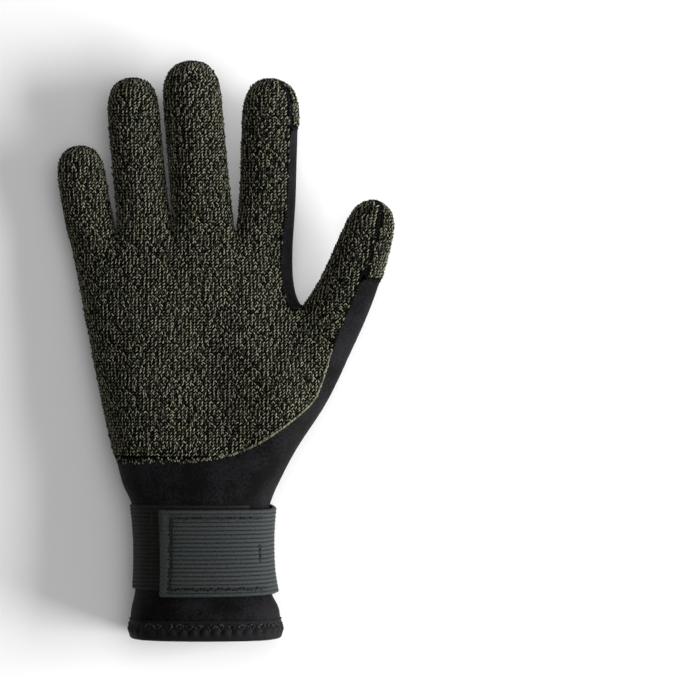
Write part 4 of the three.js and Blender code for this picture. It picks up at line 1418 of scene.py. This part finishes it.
class GLOVE_OT_hook_tape(bpy.types.Operator):
    """Adds the hook tape under the tab"""

    bl_idname = "glove.hook_tape"
    bl_label = "Hook tape"

    def execute(self, context):
        obj = strip_copy("hook_patch", "hook_patch_tape", 1, 0.85)
        obj.data.materials.append(hook_tape())
        dress(obj, "hook_patch")
        return {"FINISHED"}


def outermost(tree, middle, angle, y):
    """The outermost point of the hem at an angle, or None, and the direction outwards there."""
    way = outwards(angle)
    reach = way * 0.07
    return tree.ray_cast(Vector((middle[0], y, middle[1])) + reach, -way, reach.length)[0], way


class GLOVE_OT_hem(bpy.types.Operator):
    """Binds the hem with folded tape and sews it with thick overlock stitches"""

    bl_idname = "glove.hem"
    bl_label = "Hem"

    @staticmethod
    def puff(tape, tree, middle, turns, far, pitch, pit, top):
        """Rounds the tape's outer face up between the stitches and draws it in at each of them."""
        points = points_of(tape.data)
        for i, (x, y, z) in enumerate(points):
            angle = math.atan2(z - middle[1], x - middle[0]) % (2 * math.pi)
            level = min(y, top + 0.0012)
            place, way = outermost(tree, middle, angle, level)
            if place is None or (place - Vector((x, level, z))).length > 0.0004:
                continue
            share = np.interp(angle, turns, far) / pitch
            off = abs(share - round(share)) * pitch
            below = max(0, pit - y) / 0.0018
            above = max(0, y - pit) / (top - pit)
            dome = math.sqrt(min(1, off / (0.5 * pitch)))
            if y < pit:
                drawn_in = math.exp(-((off / 0.0011) ** 2) - below**2)
            else:
                drawn_in = min(1, above * 1.6 + 1 - dome)
            raised = HEM_DOME * dome * math.exp(-(below**2)) * (1 - min(1, above * 1.3))
            lift = raised - HEM_PIT * min(1, drawn_in)
            points[i] += np.array(way) * lift * smoothstep(0, HEM_FADE, z)
        tape.data.vertices.foreach_set("co", points.ravel())
        tape.data.update()

    def execute(self, context):
        colours = context.scene.glove_colours
        tape = strip_copy("cuff_binding", "cuff_binding_tape", 3, 0.85)
        tape.data.materials.append(woven_tape(colours))
        dress(tape, "cuff_binding")
        low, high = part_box("cuff_binding")
        middle = ((low.x + high.x) / 2, (low.z + high.z) / 2)
        top, bottom = high.y - 0.0016, low.y + 0.0014
        pit = bottom + 0.55 * (top - bottom)
        tree = faces_tree(tape)

        def on_hem(angle, y):
            place, way = outermost(tree, middle, angle, y)
            if place is None:
                raise RuntimeError("the hem has a gap in it")
            return place, way

        turns = np.radians(np.arange(0, 361, 2))
        far = distances_along(np.array([on_hem(angle, (top + bottom) / 2)[0] for angle in turns]))
        count = round(far[-1] / context.scene.glove_sizes.hem_pitch)
        pitch = far[-1] / count
        self.puff(tape, tree, middle, turns, far, pitch, pit, top)
        tree = faces_tree(tape)
        rng = np.random.default_rng(8)
        strands = []

        def strand(along_a, y_a, along_b, y_b, shade):
            (a, out_a), (b, out_b) = (
                on_hem(float(np.interp(along % far[-1], far, turns)), y)
                for along, y in ((along_a, y_a), (along_b, y_b))
            )
            out = (out_a + out_b).normalized()
            strands.append((np.array((a + b) / 2), np.array((b - a) * 0.56), np.array(out), shade))

        for i in range(count):
            at = i * pitch + rng.normal(0, 0.0003)
            lean = rng.normal(0, 0.0004)
            for side in (-1, 1):
                foot = at + side * rng.uniform(0.0002, 0.0005)
                crown = at + side * rng.uniform(0.3, 0.5) * pitch + lean
                middle_up = pit + rng.uniform(0.35, 0.6) * (top - pit)
                half_way = foot + (crown - foot) * 0.45
                strand(foot, pit + 0.0004, half_way, middle_up, rng.uniform(0, 0.6))
                strand(half_way, middle_up - 0.0002, crown, top - 0.0003, rng.uniform(0.2, 1) ** 1.5)
            strand(at, pit + 0.0008, at + 0.0002, pit - 0.0009, rng.uniform(0, 0.7))
            reach = rng.uniform(0.2, 0.4) * pitch
            left_y = top - rng.uniform(0, 0.0007)
            right_y = top - rng.uniform(0, 0.0007)
            strand(at - reach, left_y, at + reach, right_y, rng.uniform(0, 0.9))
        middles, along, out, shade = (np.array(values) for values in zip(*strands))
        middles[:, 2] = np.maximum(middles[:, 2], HEM_LOWEST)
        thick = rng.uniform(0.0004, 0.00062, (len(middles), 1))
        piece = grains(
            "hem_overlock_stitches",
            (middles + out * 0.00005, along, unit(np.cross(along, out)) * thick, out * thick, shade),
            thread("bulked_nylon_thread", colours.black_thread, 0.5, 7),
        )
        return {"FINISHED"}


class GLOVE_OT_label(bpy.types.Operator):
    """Adds the blank satin care label inside the cuff, and the dark seams of the lining"""

    bl_idname = "glove.label"
    bl_label = "Label and lining seams"

    def execute(self, context):
        obj = strip_copy("care_label", "care_label_satin", 2, 0.85)
        obj.data.materials.append(satin(context.scene.glove_colours))
        dress(obj, "care_label")
        gusset = bpy.data.objects["cuff_gusset_cloth"]
        points, triangles, normals = face_of(gusset, LINING)
        rng = np.random.default_rng(9)
        found = []
        for line in rim_lines(gusset, {LINING, CUT_EDGE}):
            middles, ways, facing = sewing_line(points[line], normals[line], LINING_SEAM_PITCH)
            side = np.abs(ways[:, 1]) > 0.5
            middles, ways, facing = middles[side], ways[side], facing[side]
            sideways = unit(np.cross(ways, facing)) * 0.00035
            shade = rng.random(len(middles))
            found.append((middles + facing * 0.00015, ways * 0.0008, sideways, facing * 0.0003, shade))
        material = bpy.data.materials["black_polyester_thread"]
        grains("lining_seam_stitches", joined_strands(found), material)
        return {"FINISHED"}


class GLOVE_PT_sidebar(bpy.types.Panel):
    """Lists what the glove is made of"""

    bl_idname = "GLOVE_PT_sidebar"
    bl_label = "Diving glove"
    bl_space_type = "VIEW_3D"
    bl_region_type = "UI"
    bl_category = "Glove"

    def draw(self, context):
        for group in (context.scene.glove_sizes, context.scene.glove_colours):
            box = self.layout.box()
            for name in group.__annotations__:
                box.prop(group, name)
        for operator in OPERATORS:
            self.layout.operator(operator.bl_idname)


OPERATORS = (
    GLOVE_OT_stage,
    GLOVE_OT_neoprene,
    GLOVE_OT_knit,
    GLOVE_OT_seams,
    GLOVE_OT_strap,
    GLOVE_OT_hook_tape,
    GLOVE_OT_hem,
    GLOVE_OT_label,
)
CLASSES = (GloveSizes, GloveColours, *OPERATORS, GLOVE_PT_sidebar)


def register():
    for cls in CLASSES:
        bpy.utils.register_class(cls)
    bpy.types.Scene.glove_sizes = bpy.props.PointerProperty(type=GloveSizes)
    bpy.types.Scene.glove_colours = bpy.props.PointerProperty(type=GloveColours)


def unregister():
    del bpy.types.Scene.glove_colours
    del bpy.types.Scene.glove_sizes
    for cls in reversed(CLASSES):
        bpy.utils.unregister_class(cls)


def main():
    register()
    bpy.ops.glove.stage()
    bpy.ops.glove.neoprene()
    bpy.ops.glove.knit()
    bpy.ops.glove.seams()
    bpy.ops.glove.strap()
    bpy.ops.glove.hook_tape()
    bpy.ops.glove.hem()
    bpy.ops.glove.label()


if __name__ == "__main__":
    main()
